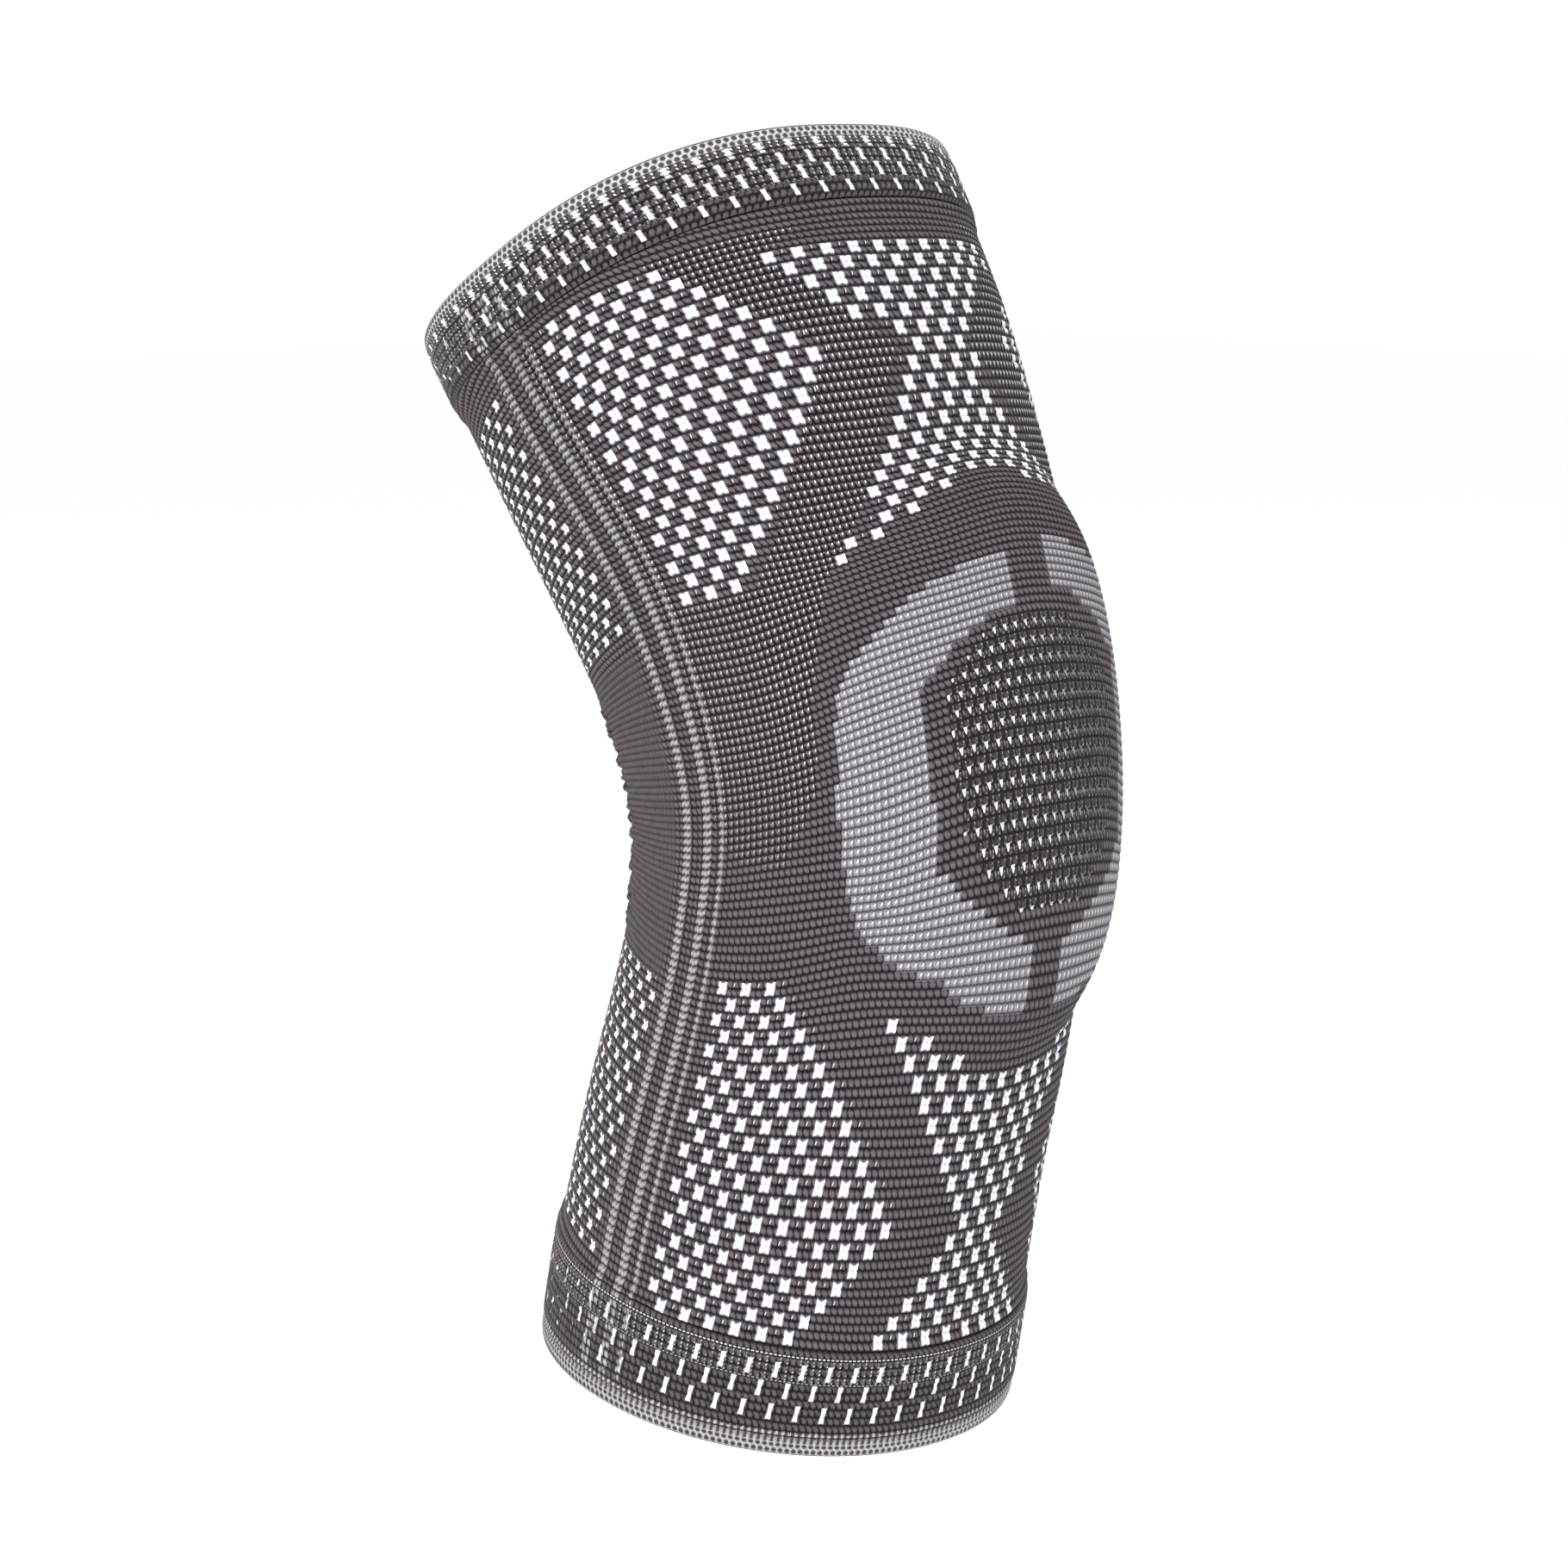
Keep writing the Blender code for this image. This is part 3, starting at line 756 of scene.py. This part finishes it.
def knit_finish():
    """Elastic rib knit: charcoal loops, with checks, specks, teeth, crescents and ribs in lighter yarn.
    The loops' light and shade, their holes and a glint on the grey loops are painted into the colour.
    """
    finish = new_finish("elastic_knit", 0.86, 0.03)
    tree = finish.node_tree
    course = field(tree, "course")
    wale = field(tree, "wale")
    up = course.part()
    over = wale.part()
    crest = 1 - abs(up * 2 - 1) ** 2.2
    strand = 1 - abs((wale * 2 + course * 0.8).part() * 2 - 1)
    streaks = fibres(tree, wale, course, 3.0)
    cloud = mottle(tree, wale * 0.11, course * 0.09, 5.0, 1.0)
    loops, pinch, lit = knit_loops(course, wale, up, streaks)
    # Painted shade: the charcoal turns darker in the grooves and gaps between loops; the cloud is the
    # yarn's own uneven tone.
    colour = blend(tree, lit * (0.84 + cloud * 0.32), CHARCOAL_DARK_AND_SHADE, CHARCOAL)

    strength = field(tree, "specks")
    specks = strength.above(0.02, 0.02)
    speck = oval_spot(over, up, (0.42, 0.62), (0.11, 0.20), 0.30) * specks
    speck = speck * (strength * 0.6 + streaks * 0.7)
    # Painted shade: a dark hole beside each speck.
    hole = oval_spot(over, up, (0.85, 0.26), (0.25, 0.31), 0.2) * specks * (0.65 + strength * 0.35)
    colour = blend(tree, hole, colour, BLACK_SHADE)
    colour = blend(tree, speck * 0.8, colour, SPECK)

    grey = field(tree, "grey").above(0.5, 0.5)
    # Painted light and shade on the grey loops: lit crests, a dark notch between stitches, and a painted
    # highlight, the glint, on each loop.
    notch = oval_spot((wale * 2).part(), up, (0.5, 0.03), (0.27, 0.17), 0.0)
    grey_lit = ((loops ** 0.7) * (0.74 + strand * 0.26) * (0.72 + streaks * 0.70) - notch * 0.5).held()
    grey_colour = blend(tree, grey_lit, GREY_SHADE, GREY)
    glint = oval_spot(over, up, (0.42, 0.62), (0.13, 0.20), 0.5)
    grey_colour = blend(tree, glint * (0.05 + streaks), grey_colour, GLINT)
    colour = blend(tree, grey, colour, grey_colour)

    teeth = field(tree, "teeth").above(0.5, 0.5)
    tooth_row = (course * 0.5).whole()
    tooth_up = (course * 0.5).part() * 2
    tooth_over = abs(((wale + tooth_row) * 0.5).part() * 2 - 1)
    tooth = (tooth_over - tooth_up * 0.36).below(-0.08, 0.12) * tooth_up.above(0.45, 0.15)
    tooth = tooth * tooth_up.below(1.16, 0.16) * teeth * (streaks * 0.9 + cloud * 0.6 + 0.2)
    # Painted shade: the white teeth fade toward the kneecap's right side.
    tooth = tooth * (0.15 + 0.85 * wale.below(1.0, 14.0))
    grain = oval_spot(over, (course * 2).part(), (0.5, 0.5), (0.12, 0.28), 0.0) * streaks.above(0.52, 0.1)
    stem = (1 - tooth_over).below(0.08, 0.08) * abs(tooth_up - 0.75).below(0.22, 0.2) * teeth * streaks
    # Painted shade in a small hole between the teeth.
    void = (1 - tooth_over).below(0.26, 0.15) * abs(tooth_up - 1.55).below(0.28, 0.2) * teeth
    # The kneecap field is darkened all over toward the darkest charcoal.
    colour = blend(tree, teeth * 0.58, colour, CHARCOAL_DARK_AND_SHADE)
    colour = blend(tree, void * 0.8, colour, BLACK_SHADE)
    colour = blend(tree, stem.most(grain * teeth) * 0.45, colour, STEM)
    colour = blend(tree, tooth.least(0.95), colour, WHITE)

    size = field(tree, "checks")
    checks = size.above(0.5, 0.5)
    check_row = field(tree, "check_row")
    pair = wale * 0.5
    white_cell = 1 - ((pair.whole() + check_row.whole()) * 0.5).part() * 2
    x = pair.part() * 2 - 1
    y = check_row.part() * 2 - 1
    near_x = abs(x) / size.most(0.5)
    near_y = abs(y) / size.most(0.5)
    ears = course.below(0.0, 2.0) * y.above(0.0, 0.5)
    top = (near_x * (0.12 + ears * 0.34) + (0.69 - ears * 0.16)).least(1.24 - near_x * 0.62)
    flank = (near_y * 0.05 + 0.68 + course.above(0.0, 2.0) * 0.06).least(1.10 - near_y * 0.54)
    halo = (top - near_y).above(-0.14, 0.20) * (flank - near_x).above(-0.14, 0.20)
    colour = blend(tree, halo * white_cell.above(0.5, 0.2) * checks * 0.8, colour, HALO)
    square = (top - near_y).above(0.0, 0.14) * (flank - near_x).above(0.0, 0.12)
    nicks = oval_spot(near_x, near_y, (0.0, 0.76), (0.15, 0.20), 0.0, 0.5)
    nicks = nicks.most(oval_spot(near_x, near_y, (0.84, 0.0), (0.20, 0.15), 0.0, 0.5))
    square = square * (1 - nicks * 0.9)
    white = square * white_cell.above(0.5, 0.2) * checks
    # Painted shade: a grey dot in the middle of each white check, where its loops meet.
    centre_shade = (x * x + y * y).below(0.042, 0.04) * white
    dark_cell = white_cell.below(0.5, 0.2) * checks
    dash = oval_spot(x, y, (0.0, 0.46), (0.09, 0.26), 0.25, 0.3) * dark_cell
    # Painted shade in the small holes of the dark checks.
    pits = oval_spot(near_x, y, (0.34, -0.02), (0.17, 0.20), 0.0, 0.4) * dark_cell
    rims = oval_spot(near_x, y, (0.98, 0.0), (0.14, 0.30), 0.0, 0.4) * dark_cell
    colour = blend(tree, pits.most(rims) * 0.85, colour, BLACK_SHADE)
    colour = blend(tree, dash * 0.65, colour, DASH)
    # Painted shade: the white loops are lit at their crests and shaded in their grooves.
    white_lit = (0.40 + crest * 0.45 + strand * 0.12 + streaks * 0.2).held()
    white_colour = blend(tree, white_lit, WHITE_SHADE, WHITE)
    white_colour = blend(tree, centre_shade * 0.75, white_colour, CHECK_CENTRE_SHADE)
    colour = blend(tree, white, colour, white_colour)

    shabby = course.above(63, 8) * cloud.below(0.62, 0.2) * streaks.above(0.42, 0.2)
    rib = field(tree, "rib").above(0.50, 0.30) * (1 - shabby * 0.8)
    # Painted shade: each bead of the rib is lit in its middle and dark in the gaps between beads.
    bead = 1 - abs((up - over * 0.25).part() * 2 - 1) ** 1.1
    rib_lit = (bead * (0.62 + strand * 0.38) * (0.62 + streaks * 0.80)).held()
    colour = blend(tree, rib, colour, blend(tree, rib_lit, RIB_SHADE, RIB_GREY))

    behind = field(tree, "behind")
    pile = mottle(tree, wale * 4.0, course * 0.5, 9.0, 2.0)
    # The pile's tone varies at random, with painted shade in the grooves between courses.
    soft = blend(tree, pile * (0.45 + crest * 0.55), PILE_DARK_AND_SHADE, PILE)
    colour = blend(tree, behind * 0.8, colour, soft)

    within = field(tree, "inside").above(0.5, 0.2)
    # Painted shade between the lining's loops.
    lining = blend(tree, lit, LINING_SHADE, LINING)
    colour = blend(tree, within, colour, lining)

    join(tree, 0.82 + streaks * 0.12, tree.nodes["Principled BSDF"].inputs["Roughness"])
    height = loops * 0.7 + streaks * 0.35 - pinch * 0.5 - hole * 0.6 - pits * 0.6 - void * 0.5
    height = height + white * 0.35 + speck * 0.3 + glint * grey * 0.2 + tooth * 0.3 - notch * grey * 0.3
    shade(tree, colour, height)
    return finish


knit = knit_finish()
PANELS = (
    ("front_panel", -28, 28),
    ("left_side_panel", -82, -28),
    ("right_side_panel", 28, 82),
    ("back_panel", 82, 138),
)
for name, first, last in PANELS:
    panel = make_panel(name, first, last, knit)
    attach(panel, "root")
    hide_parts("knit_sleeve")

# Each hem is a band of the same yarns, folded in over the tube's end and held by a stitched line, with
# rows of short white dashes. Its outer flap ends in a thin covering stitch that lies down on the tube.
WELT = 0.0010
INNER_FLAP_SHORT = 0.004
COVER_STITCH = 0.0016  # how much of the outer flap's end lies down on the tube
DARK_YARN = (0.095, 0.081, 0.094)
DARK_YARN_SHADE = (0.010, 0.007, 0.010)
FLECK = (0.70, 0.69, 0.73)
STROKE = (0.46, 0.44, 0.47)
THREAD = (0.80, 0.78, 0.82)


def ring_faces(rows, columns, flip):
    """Faces of rings that close on themselves, the last ring joined to the first."""
    index = np.arange(rows * columns).reshape(rows, columns)
    up = np.roll(index, -1, 0)
    on = np.roll(index, -1, 1)
    both = np.roll(up, -1, 1)
    corners = [index.ravel(), on.ravel(), both.ravel(), up.ravel()]
    return np.stack(corners[::-1] if flip else corners, 1).tolist()


def hem_bake(rows, columns):
    """A map for baking, with one strip of the map for each ring's face."""
    return bake_map(np.linspace(0.005, 0.995, rows), np.linspace(0.002, 0.998, columns))


def make_hem(name, rim, inward, profile, relief, columns_a_wale, finish):
    """A closed hem piece, made of rings of points, with the knit's fields on them.

    Its profile gives depth from the rim, offset from the knit's outside, and how far it faces outward.
    """
    wale = np.arange(2 * HALF_WALES * columns_a_wale) / columns_a_wale - HALF_WALES
    depth, out, facing = (column[:, None] + np.zeros(len(wale)) for column in np.transpose(profile))
    wale = np.broadcast_to(wale, depth.shape)
    along = rim + inward * depth
    points = place(along, share_at(along, wale), out + relief(depth, wale) * facing)
    fields = {"wale": wale, "depth": depth * 1000, "facing": facing, "rib": side_rib(wale)}
    fields = {key: values.ravel() for key, values in fields.items()}
    faces = ring_faces(*depth.shape, inward > 0)
    bake = hem_bake(*depth.shape)
    return make_cloth(name, points.reshape(-1, 3), faces, fields, bake, finish, len(faces))


def welt_profile(depth):
    """Round a folded band: depth from the rim, offset, and whether it faces outward."""
    top = EDGING_HEIGHT + GAP
    fold = top + WELT_FOLD
    outside = GAP + WELT
    within = -KNIT - GAP - WELT
    flap_end = depth - COVER_STITCH
    steps = int(round((flap_end - top) / 0.0005))
    flap = [(float(d), outside, 1.0) for d in np.linspace(flap_end, top + 0.0002, steps)]
    edge = [(depth, GAP, 0.0), (depth, GAP + 0.0003, 0.2), (depth - 0.0008, outside - 0.0001, 0.8)]
    inner_end = depth - INNER_FLAP_SHORT
    inner_flap = [(float(d), within, 0.0) for d in np.linspace(fold, inner_end, 6)]
    return [
        *edge,
        *flap,
        (top, outside - WELT / 3, 0.0),
        (top, within + WELT / 3, 0.0),
        *inner_flap,
        (inner_end, -KNIT - GAP, 0.0),
        (fold, -KNIT - GAP, 0.0),
        (fold, GAP, 0.0),
    ]


HEM_COURSE = 0.0021  # the height of a course on a hem
HEM_COURSE_RAISE = 0.00022
HEM_SINK = 0.00012
HEM_WALE_GROOVE = 0.00008
PLEAT_RAISE = 0.00030
PLEATS_FROM_WALE = 42
PLEATS_TO_WALE = 68


def hem_relief(depth, wale):
    """Courses and loops of a hem band."""
    up = (depth / HEM_COURSE) % 1
    crest = 1 - np.abs(2 * up - 1) ** CREST_POWER
    across = np.abs(2 * (wale % 1) - 1)
    return HEM_COURSE_RAISE * crest - HEM_SINK - HEM_WALE_GROOVE * (1 - crest) * (1 - across)


def upper_hem_relief(depth, wale):
    """The upper hem is gathered into small pleats at the back of each side."""
    count = np.abs(near_wale(wale))
    gathered = ease((count - PLEATS_FROM_WALE) / 5) * ease((PLEATS_TO_WALE - count) / 5)
    gathered = gathered * ease((depth - 0.0055) / 0.0025)
    folds = np.sin(count * 1.45 + depth * 260) + 0.5 * np.sin(count * 0.81 - depth * 420)
    return hem_relief(depth, wale) + PLEAT_RAISE * gathered * folds


def off_dash(wale, depth, middle, shift):
    """How many wales a point lies from the nearest slanting dash. There is one on every fourth wale."""
    return abs((wale * 0.25 + shift).part() * 4 - 2.0 - (depth - middle) * 0.07)


def welt_finish(name, dash_rows, lines, fleck_rows, rib_reach, stroke_reach):
    """Dark hem knit with rows of white dashes, pale flecks and fine stitched lines, with painted shade in
    its grooves, holes and furrows and beside each dash.

    Dashes and lines are set by their middle and half height, in millimetres from the rim. Pale strokes
    reach in from the edging, and the tube's grey ribs run on toward the rim, up to rib_reach.
    """
    finish = new_finish(name, 0.86, 0.03)
    tree = finish.node_tree
    depth = field(tree, "depth")
    wale = field(tree, "wale")
    outer = field(tree, "facing").above(0.5, 0.4)
    course = depth / (HEM_COURSE * 1000)
    up = course.part()
    over = wale.part()
    streaks = fibres(tree, wale, course, 7.0)
    patches = mottle(tree, wale * 0.9, course * 0.7, 2.0, 1.0)
    loops, pinch, lit = knit_loops(course, wale, up, streaks)
    # Painted shade in the grooves and gaps between the hem's loops.
    colour = blend(tree, lit, DARK_YARN_SHADE, DARK_YARN)
    fleck_up = (course * 2).part()
    flecks = oval_spot(over, fleck_up, (0.5, 0.5), (0.12, 0.28), 0.2) * patches.above(0.44, 0.2) * outer
    flecks = flecks * abs(depth - fleck_rows[0]).below(fleck_rows[1], 1.5)
    # Painted shade in a small hole beside each loop.
    pits = oval_spot(over, up, (0.95, 0.35), (0.20, 0.28), 0.2) * outer
    colour = blend(tree, pits * 0.9, colour, BLACK_SHADE)
    colour = blend(tree, flecks * (0.25 + streaks * 0.6), colour, FLECK)
    reach = stroke_reach + streaks * 1.6 - depth
    strokes = abs(over * 2 - 1).below(0.45, 0.35) * reach.above(0.0, 0.4) * outer
    colour = blend(tree, strokes * 0.8, colour, STROKE)
    rib = field(tree, "rib").above(0.5, 0.4) * outer * (depth - rib_reach).above(0.0, 2.0)
    # Painted shade on the rib's loops, with a patchy tone of its own.
    rib_lit = (lit * (0.4 + patches)).held()
    colour = blend(tree, rib * patches.above(0.40, 0.2), colour, blend(tree, rib_lit, RIB_SHADE, RIB_GREY))
    height = loops * 0.7 + streaks * 0.35 - pinch * 0.5 + flecks * 0.2 - pits * 0.4
    sparse = 1 - abs(wale).above(60.0, 6.0) * patches.below(0.54, 0.08)
    for number, (middle, half) in enumerate(dash_rows):
        thin = off_dash(wale, depth, middle, 0.5 * (number % 2))
        forked = 0.27 + abs(depth - middle) * 0.06
        clear = (1 - rib * 0.8) * sparse
        dash = (forked - thin).above(0.0, 0.14) * abs(depth - middle).below(half, 0.35) * outer * clear
        # Painted shadow beside each dash.
        shadow = abs(thin - 0.72).below(0.22, 0.25) * abs(depth - middle).below(half, 0.5) * outer
        colour = blend(tree, shadow * 0.55, colour, BLACK_SHADE)
        colour = blend(tree, dash, colour, WHITE)
        height = height + dash * 0.8
    for middle, half, strength in lines:
        stitch = (wale * 1.5).part().below(0.62, 0.2)
        thread = abs(depth - middle).below(half, 0.18) * stitch * outer
        # Painted shade in the furrow along each stitched line.
        furrow = abs(depth - middle).below(half * 2.6, 0.35) * outer
        colour = blend(tree, furrow * 0.8, colour, BLACK_SHADE)
        colour = blend(tree, thread * strength, colour, THREAD)
        height = height + thread * 0.6 - furrow * 0.7
    shade(tree, colour, height)
    return finish


# Name, rim, way in from the rim, depth, flat depth, flecks, ends of ribs and strokes, dashes and lines
WELTS = (
    ("upper_welt", UPPER_REACH, -1, UPPER_WELT_DEPTH, 0.030, (8.5, 5.0), 0.0, 0.0,
     ((4.3, 1.5), (7.8, 1.5), (11.4, 1.6), (15.4, 1.3)), ((13.5, 0.10, 0.20),)),
    ("lower_welt", -LOWER_REACH, 1, LOWER_WELT_DEPTH, 0.046, (22.0, 3.0), 6.5, 5.2,
     ((21.7, 1.9), (16.6, 2.0), (11.0, 2.0)), ((25.4, 0.16, 0.75), (18.9, 0.12, 0.45))),
)
for name, rim, inward, depth, flat_depth, fleck_rows, rib_reach, stroke_reach, dash_rows, lines in WELTS:
    finish = welt_finish(name + "_knit", dash_rows, lines, fleck_rows, rib_reach, stroke_reach)
    relief = upper_hem_relief if inward < 0 else hem_relief
    welt = make_hem(name + "_band", rim, inward, welt_profile(depth), relief, 3, finish)
    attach(welt, "root")
    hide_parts(name)

# The edge of each hem is bound in pale elastic yarn: a thin dark cord at the rim, then two rows of chain
# loops with dark holes. It is knitted on, and rounds the fold.
EDGING_INSET = 0.0002
WINDING_RAISE = 0.00016
WINDING_SLANT = 250  # wales a metre
CHAIN_RAISE = 0.00008
CHAIN_ROW = 0.0016
EDGING_SINK = 0.00012
CORD_DARK_AND_SHADE = (0.018, 0.014, 0.018)
CORD = (0.120, 0.105, 0.118)
PALE_DARK_AND_SHADE = (0.09, 0.08, 0.09)
PALE = (0.60, 0.58, 0.61)
CHAIN_HOLE_SHADE = (0.022, 0.017, 0.020)
LOWER_DARK = (0.050, 0.042, 0.050)
LOWER_RIM = (0.060, 0.046, 0.048)


def edging_profile():
    """Round the bound edge: depth from the rim, offset, and 1 where the yarn shows relief."""
    outside = GAP + WELT - EDGING_INSET
    within = -KNIT - GAP - WELT + EDGING_INSET
    quarter = (outside - within) / 4
    round_off = [
        (quarter * (1 - math.sin(t)), outside - quarter * (1 - math.cos(t)))
        for t in np.linspace(0, math.pi / 2, 5)
    ]
    round_in = [(d, within + outside - out) for d, out in reversed(round_off)]
    flap = [(float(d), outside) for d in np.linspace(EDGING_HEIGHT, quarter, 10)[:-1]]
    inner_flap = [(float(d), within) for d in np.linspace(quarter, EDGING_HEIGHT, 4)[1:]]
    faced = [(d, out, 1.0 if 0 < i else 0.3) for i, (d, out) in enumerate([*flap, *round_off])]
    plain = [(d, out, 0.4) for d, out in [*round_in, *inner_flap]]
    return [*faced, *plain]


def edging_relief(depth, wale):
    """Slanting stitches wound round the edge."""
    wave = np.abs(2 * ((wale + depth * WINDING_SLANT) % 1) - 1)
    rows = np.cos(depth / CHAIN_ROW * 2 * math.pi)
    return WINDING_RAISE * (1 - wave) + CHAIN_RAISE * rows - EDGING_SINK


def chain_holes(wale, depth, start, high):
    """A row of dark ovals, painted shade in the holes of a chain of pale loops."""
    return oval_spot(wale.part(), (depth - start) / high, (0.5, 0.5), (0.37, 0.42), 0.0, 0.40)


def upper_edging_finish():
    """Thin dark cord at the rim, two rows of pale chain loops, then dark stitches toward the hem."""
    finish = new_finish("upper_edging_yarn", 0.80, 0.04)
    tree = finish.node_tree
    depth = field(tree, "depth")
    wale = field(tree, "wale")
    streaks = fibres(tree, wale, depth * 1.5, 11.0)
    slash = 1 - abs((wale + depth * 0.35).part() * 2 - 1)
    # Painted light along the middle of each slanting stitch, with the fibres' own uneven tone.
    dark = blend(tree, streaks * slash, CORD_DARK_AND_SHADE, CORD)
    pale = blend(tree, streaks * 0.9 + slash * 0.3, PALE_DARK_AND_SHADE, PALE)
    holes = chain_holes(wale, depth, 0.45, 1.35).most(chain_holes(wale + 0.5, depth, 1.80, 1.25))
    chain = depth.above(0.45, 0.2) * depth.below(3.0, 0.3)
    colour = blend(tree, chain, dark, pale)
    # Painted shade in the chain's holes.
    colour = blend(tree, holes * 0.92, colour, CHAIN_HOLE_SHADE)
    dash = (0.33 - off_dash(wale, depth, 4.3, 0.0)).above(0.0, 0.14) * depth.above(3.25, 0.3)
    flecks = oval_spot(wale.part(), ((depth - 3.1) / 0.9).part(), (0.5, 0.5), (0.15, 0.32), 0.2)
    flecks = flecks * depth.above(3.1, 0.2) * streaks.above(0.42, 0.15)
    colour = blend(tree, flecks * 0.75, colour, THREAD)
    colour = blend(tree, dash, colour, WHITE)
    shade(tree, colour, chain * 0.5 - holes * 0.7 + slash * 0.2 + streaks * 0.2 + dash * 0.5)
    return finish


def lower_edging_finish():
    """Dark rim line, two rows of pale loops round dark ovals, then uneven pale strokes."""
    finish = new_finish("lower_edging_yarn", 0.80, 0.04)
    tree = finish.node_tree
    depth = field(tree, "depth")
    wale = field(tree, "wale")
    streaks = fibres(tree, wale, depth * 1.5, 13.0)
    slash = 1 - abs((wale + depth * 0.35).part() * 2 - 1)
    # Painted light along the middle of each slanting stitch, with the fibres' own uneven tone.
    pale = blend(tree, streaks * 0.8 + slash * 0.4, PALE_DARK_AND_SHADE, STROKE)
    holes = chain_holes(wale, depth, 0.50, 1.35).most(chain_holes(wale + 0.5, depth, 2.05, 1.10))
    # Painted shade in the chain's holes.
    colour = blend(tree, holes * 0.92, pale, CHAIN_HOLE_SHADE)
    reach = (streaks * 3.4 + 3.0) - depth
    stroke = abs(wale.part() * 2 - 1).below(0.50, 0.35) * reach.above(0.0, 0.4)
    dark = depth.above(3.3, 0.3) * (1 - stroke)
    colour = blend(tree, dark, colour, LOWER_DARK)
    colour = blend(tree, depth.below(0.42, 0.25) * 0.85, colour, LOWER_RIM)
    shade(tree, colour, slash * 0.3 + streaks * 0.3 - holes * 0.7 - dark * 0.4)
    return finish


EDGINGS = (
    ("upper_edging", UPPER_REACH, -1, upper_edging_finish()),
    ("lower_edging", -LOWER_REACH, 1, lower_edging_finish()),
)
for name, rim, inward, finish in EDGINGS:
    edging = make_hem(name + "_band", rim, inward, edging_profile(), edging_relief, 4, finish)
    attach(edging, "root")
    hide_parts(name)

# The cushion ring is a moulded oval of soft gel, open in the middle for the kneecap. It lies loose on
# the inside of the knit, with its edges rounded and a fine grain on its surface.
RING_OPENING = 0.050
RING_EDGE = 0.0010
RING_MARGIN = 0.0035
RING_CLEARANCE = 0.0010
RING_PROFILE = (  # across the ring from its opening, and up from its underside, as shares
    (0.00, 0.25), (0.05, 0.80), (0.20, 1.00), (0.50, 1.00), (0.78, 0.95), (1.00, 0.80), (1.00, 0.10),
    (0.55, 0.00), (0.08, 0.00),
)
RING_TURNS = 160
GEL_DEEP = (0.26, 0.25, 0.27)
GEL = (0.34, 0.33, 0.35)


def rounded(value):
    """A cosine or a sine drawn out toward the squarer outline of the swell."""
    return np.sign(value) * np.abs(value) ** (2 / SWELL_SQUARE)


def make_cushion_ring(finish):
    """The oval ring under the swell, its section swept round and eased at its corners."""
    loop = np.array([*RING_PROFILE, RING_PROFILE[0]])
    length = np.concatenate([[0], np.cumsum(np.hypot(*np.diff(loop, axis=0).T))])
    steps = np.linspace(0, length[-1], 41)[:-1]
    across = np.interp(steps, length, loop[:, 0])
    lift = np.interp(steps, length, loop[:, 1])
    for _ in range(2):
        across = (np.roll(across, 1) + 2 * across + np.roll(across, -1)) / 4
        lift = (np.roll(lift, 1) + 2 * lift + np.roll(lift, -1)) / 4
    inner = RING_OPENING / SWELL_HEIGHT
    outer = 1 - RING_MARGIN / (SWELL_HEIGHT / 2)
    round_turn = np.linspace(0, 2 * math.pi, RING_TURNS, endpoint=False)[None, :]
    oval = (inner + (outer - inner) * across)[:, None]
    along = SWELL_UP + oval * SWELL_HEIGHT / 2 * rounded(np.cos(round_turn))
    around = oval * SWELL_WIDTH / 2 * rounded(np.sin(round_turn))
    share = around / at(cut_girth, along)
    under_knit = -KNIT - RING_CLEARANCE
    underside = under_knit - swell(along, around) - RING_EDGE
    points = place(along, share, underside + lift[:, None] * (under_knit - underside))
    rows, columns = along.shape
    fields = {"depth": (along * 1000).ravel(), "wale": (around * 1000).ravel()}
    faces = ring_faces(rows, columns, False)
    bake = hem_bake(rows, columns)
    return make_cloth("kneecap_cushion", points.reshape(-1, 3), faces, fields, bake, finish, len(faces))


def cushion_finish():
    """Soft grey gel with a fine grain."""
    finish = new_finish("cushion_gel", 0.55, 0.0)
    tree = finish.node_tree
    grain = put(tree, "ShaderNodeTexNoise", (), {"Scale": 900.0, "Detail": 3.0})
    cloud = put(tree, "ShaderNodeTexNoise", (), {"Scale": 40.0, "Detail": 2.0})
    colour = blend(tree, cloud, GEL_DEEP, GEL)
    join(tree, 0.48 + grain * 0.16, tree.nodes["Principled BSDF"].inputs["Roughness"])
    shade(tree, colour, grain, 0.3, 0.0001)
    return finish


cushion = make_cushion_ring(cushion_finish())
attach(cushion, "root")
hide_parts("kneecap_ring")
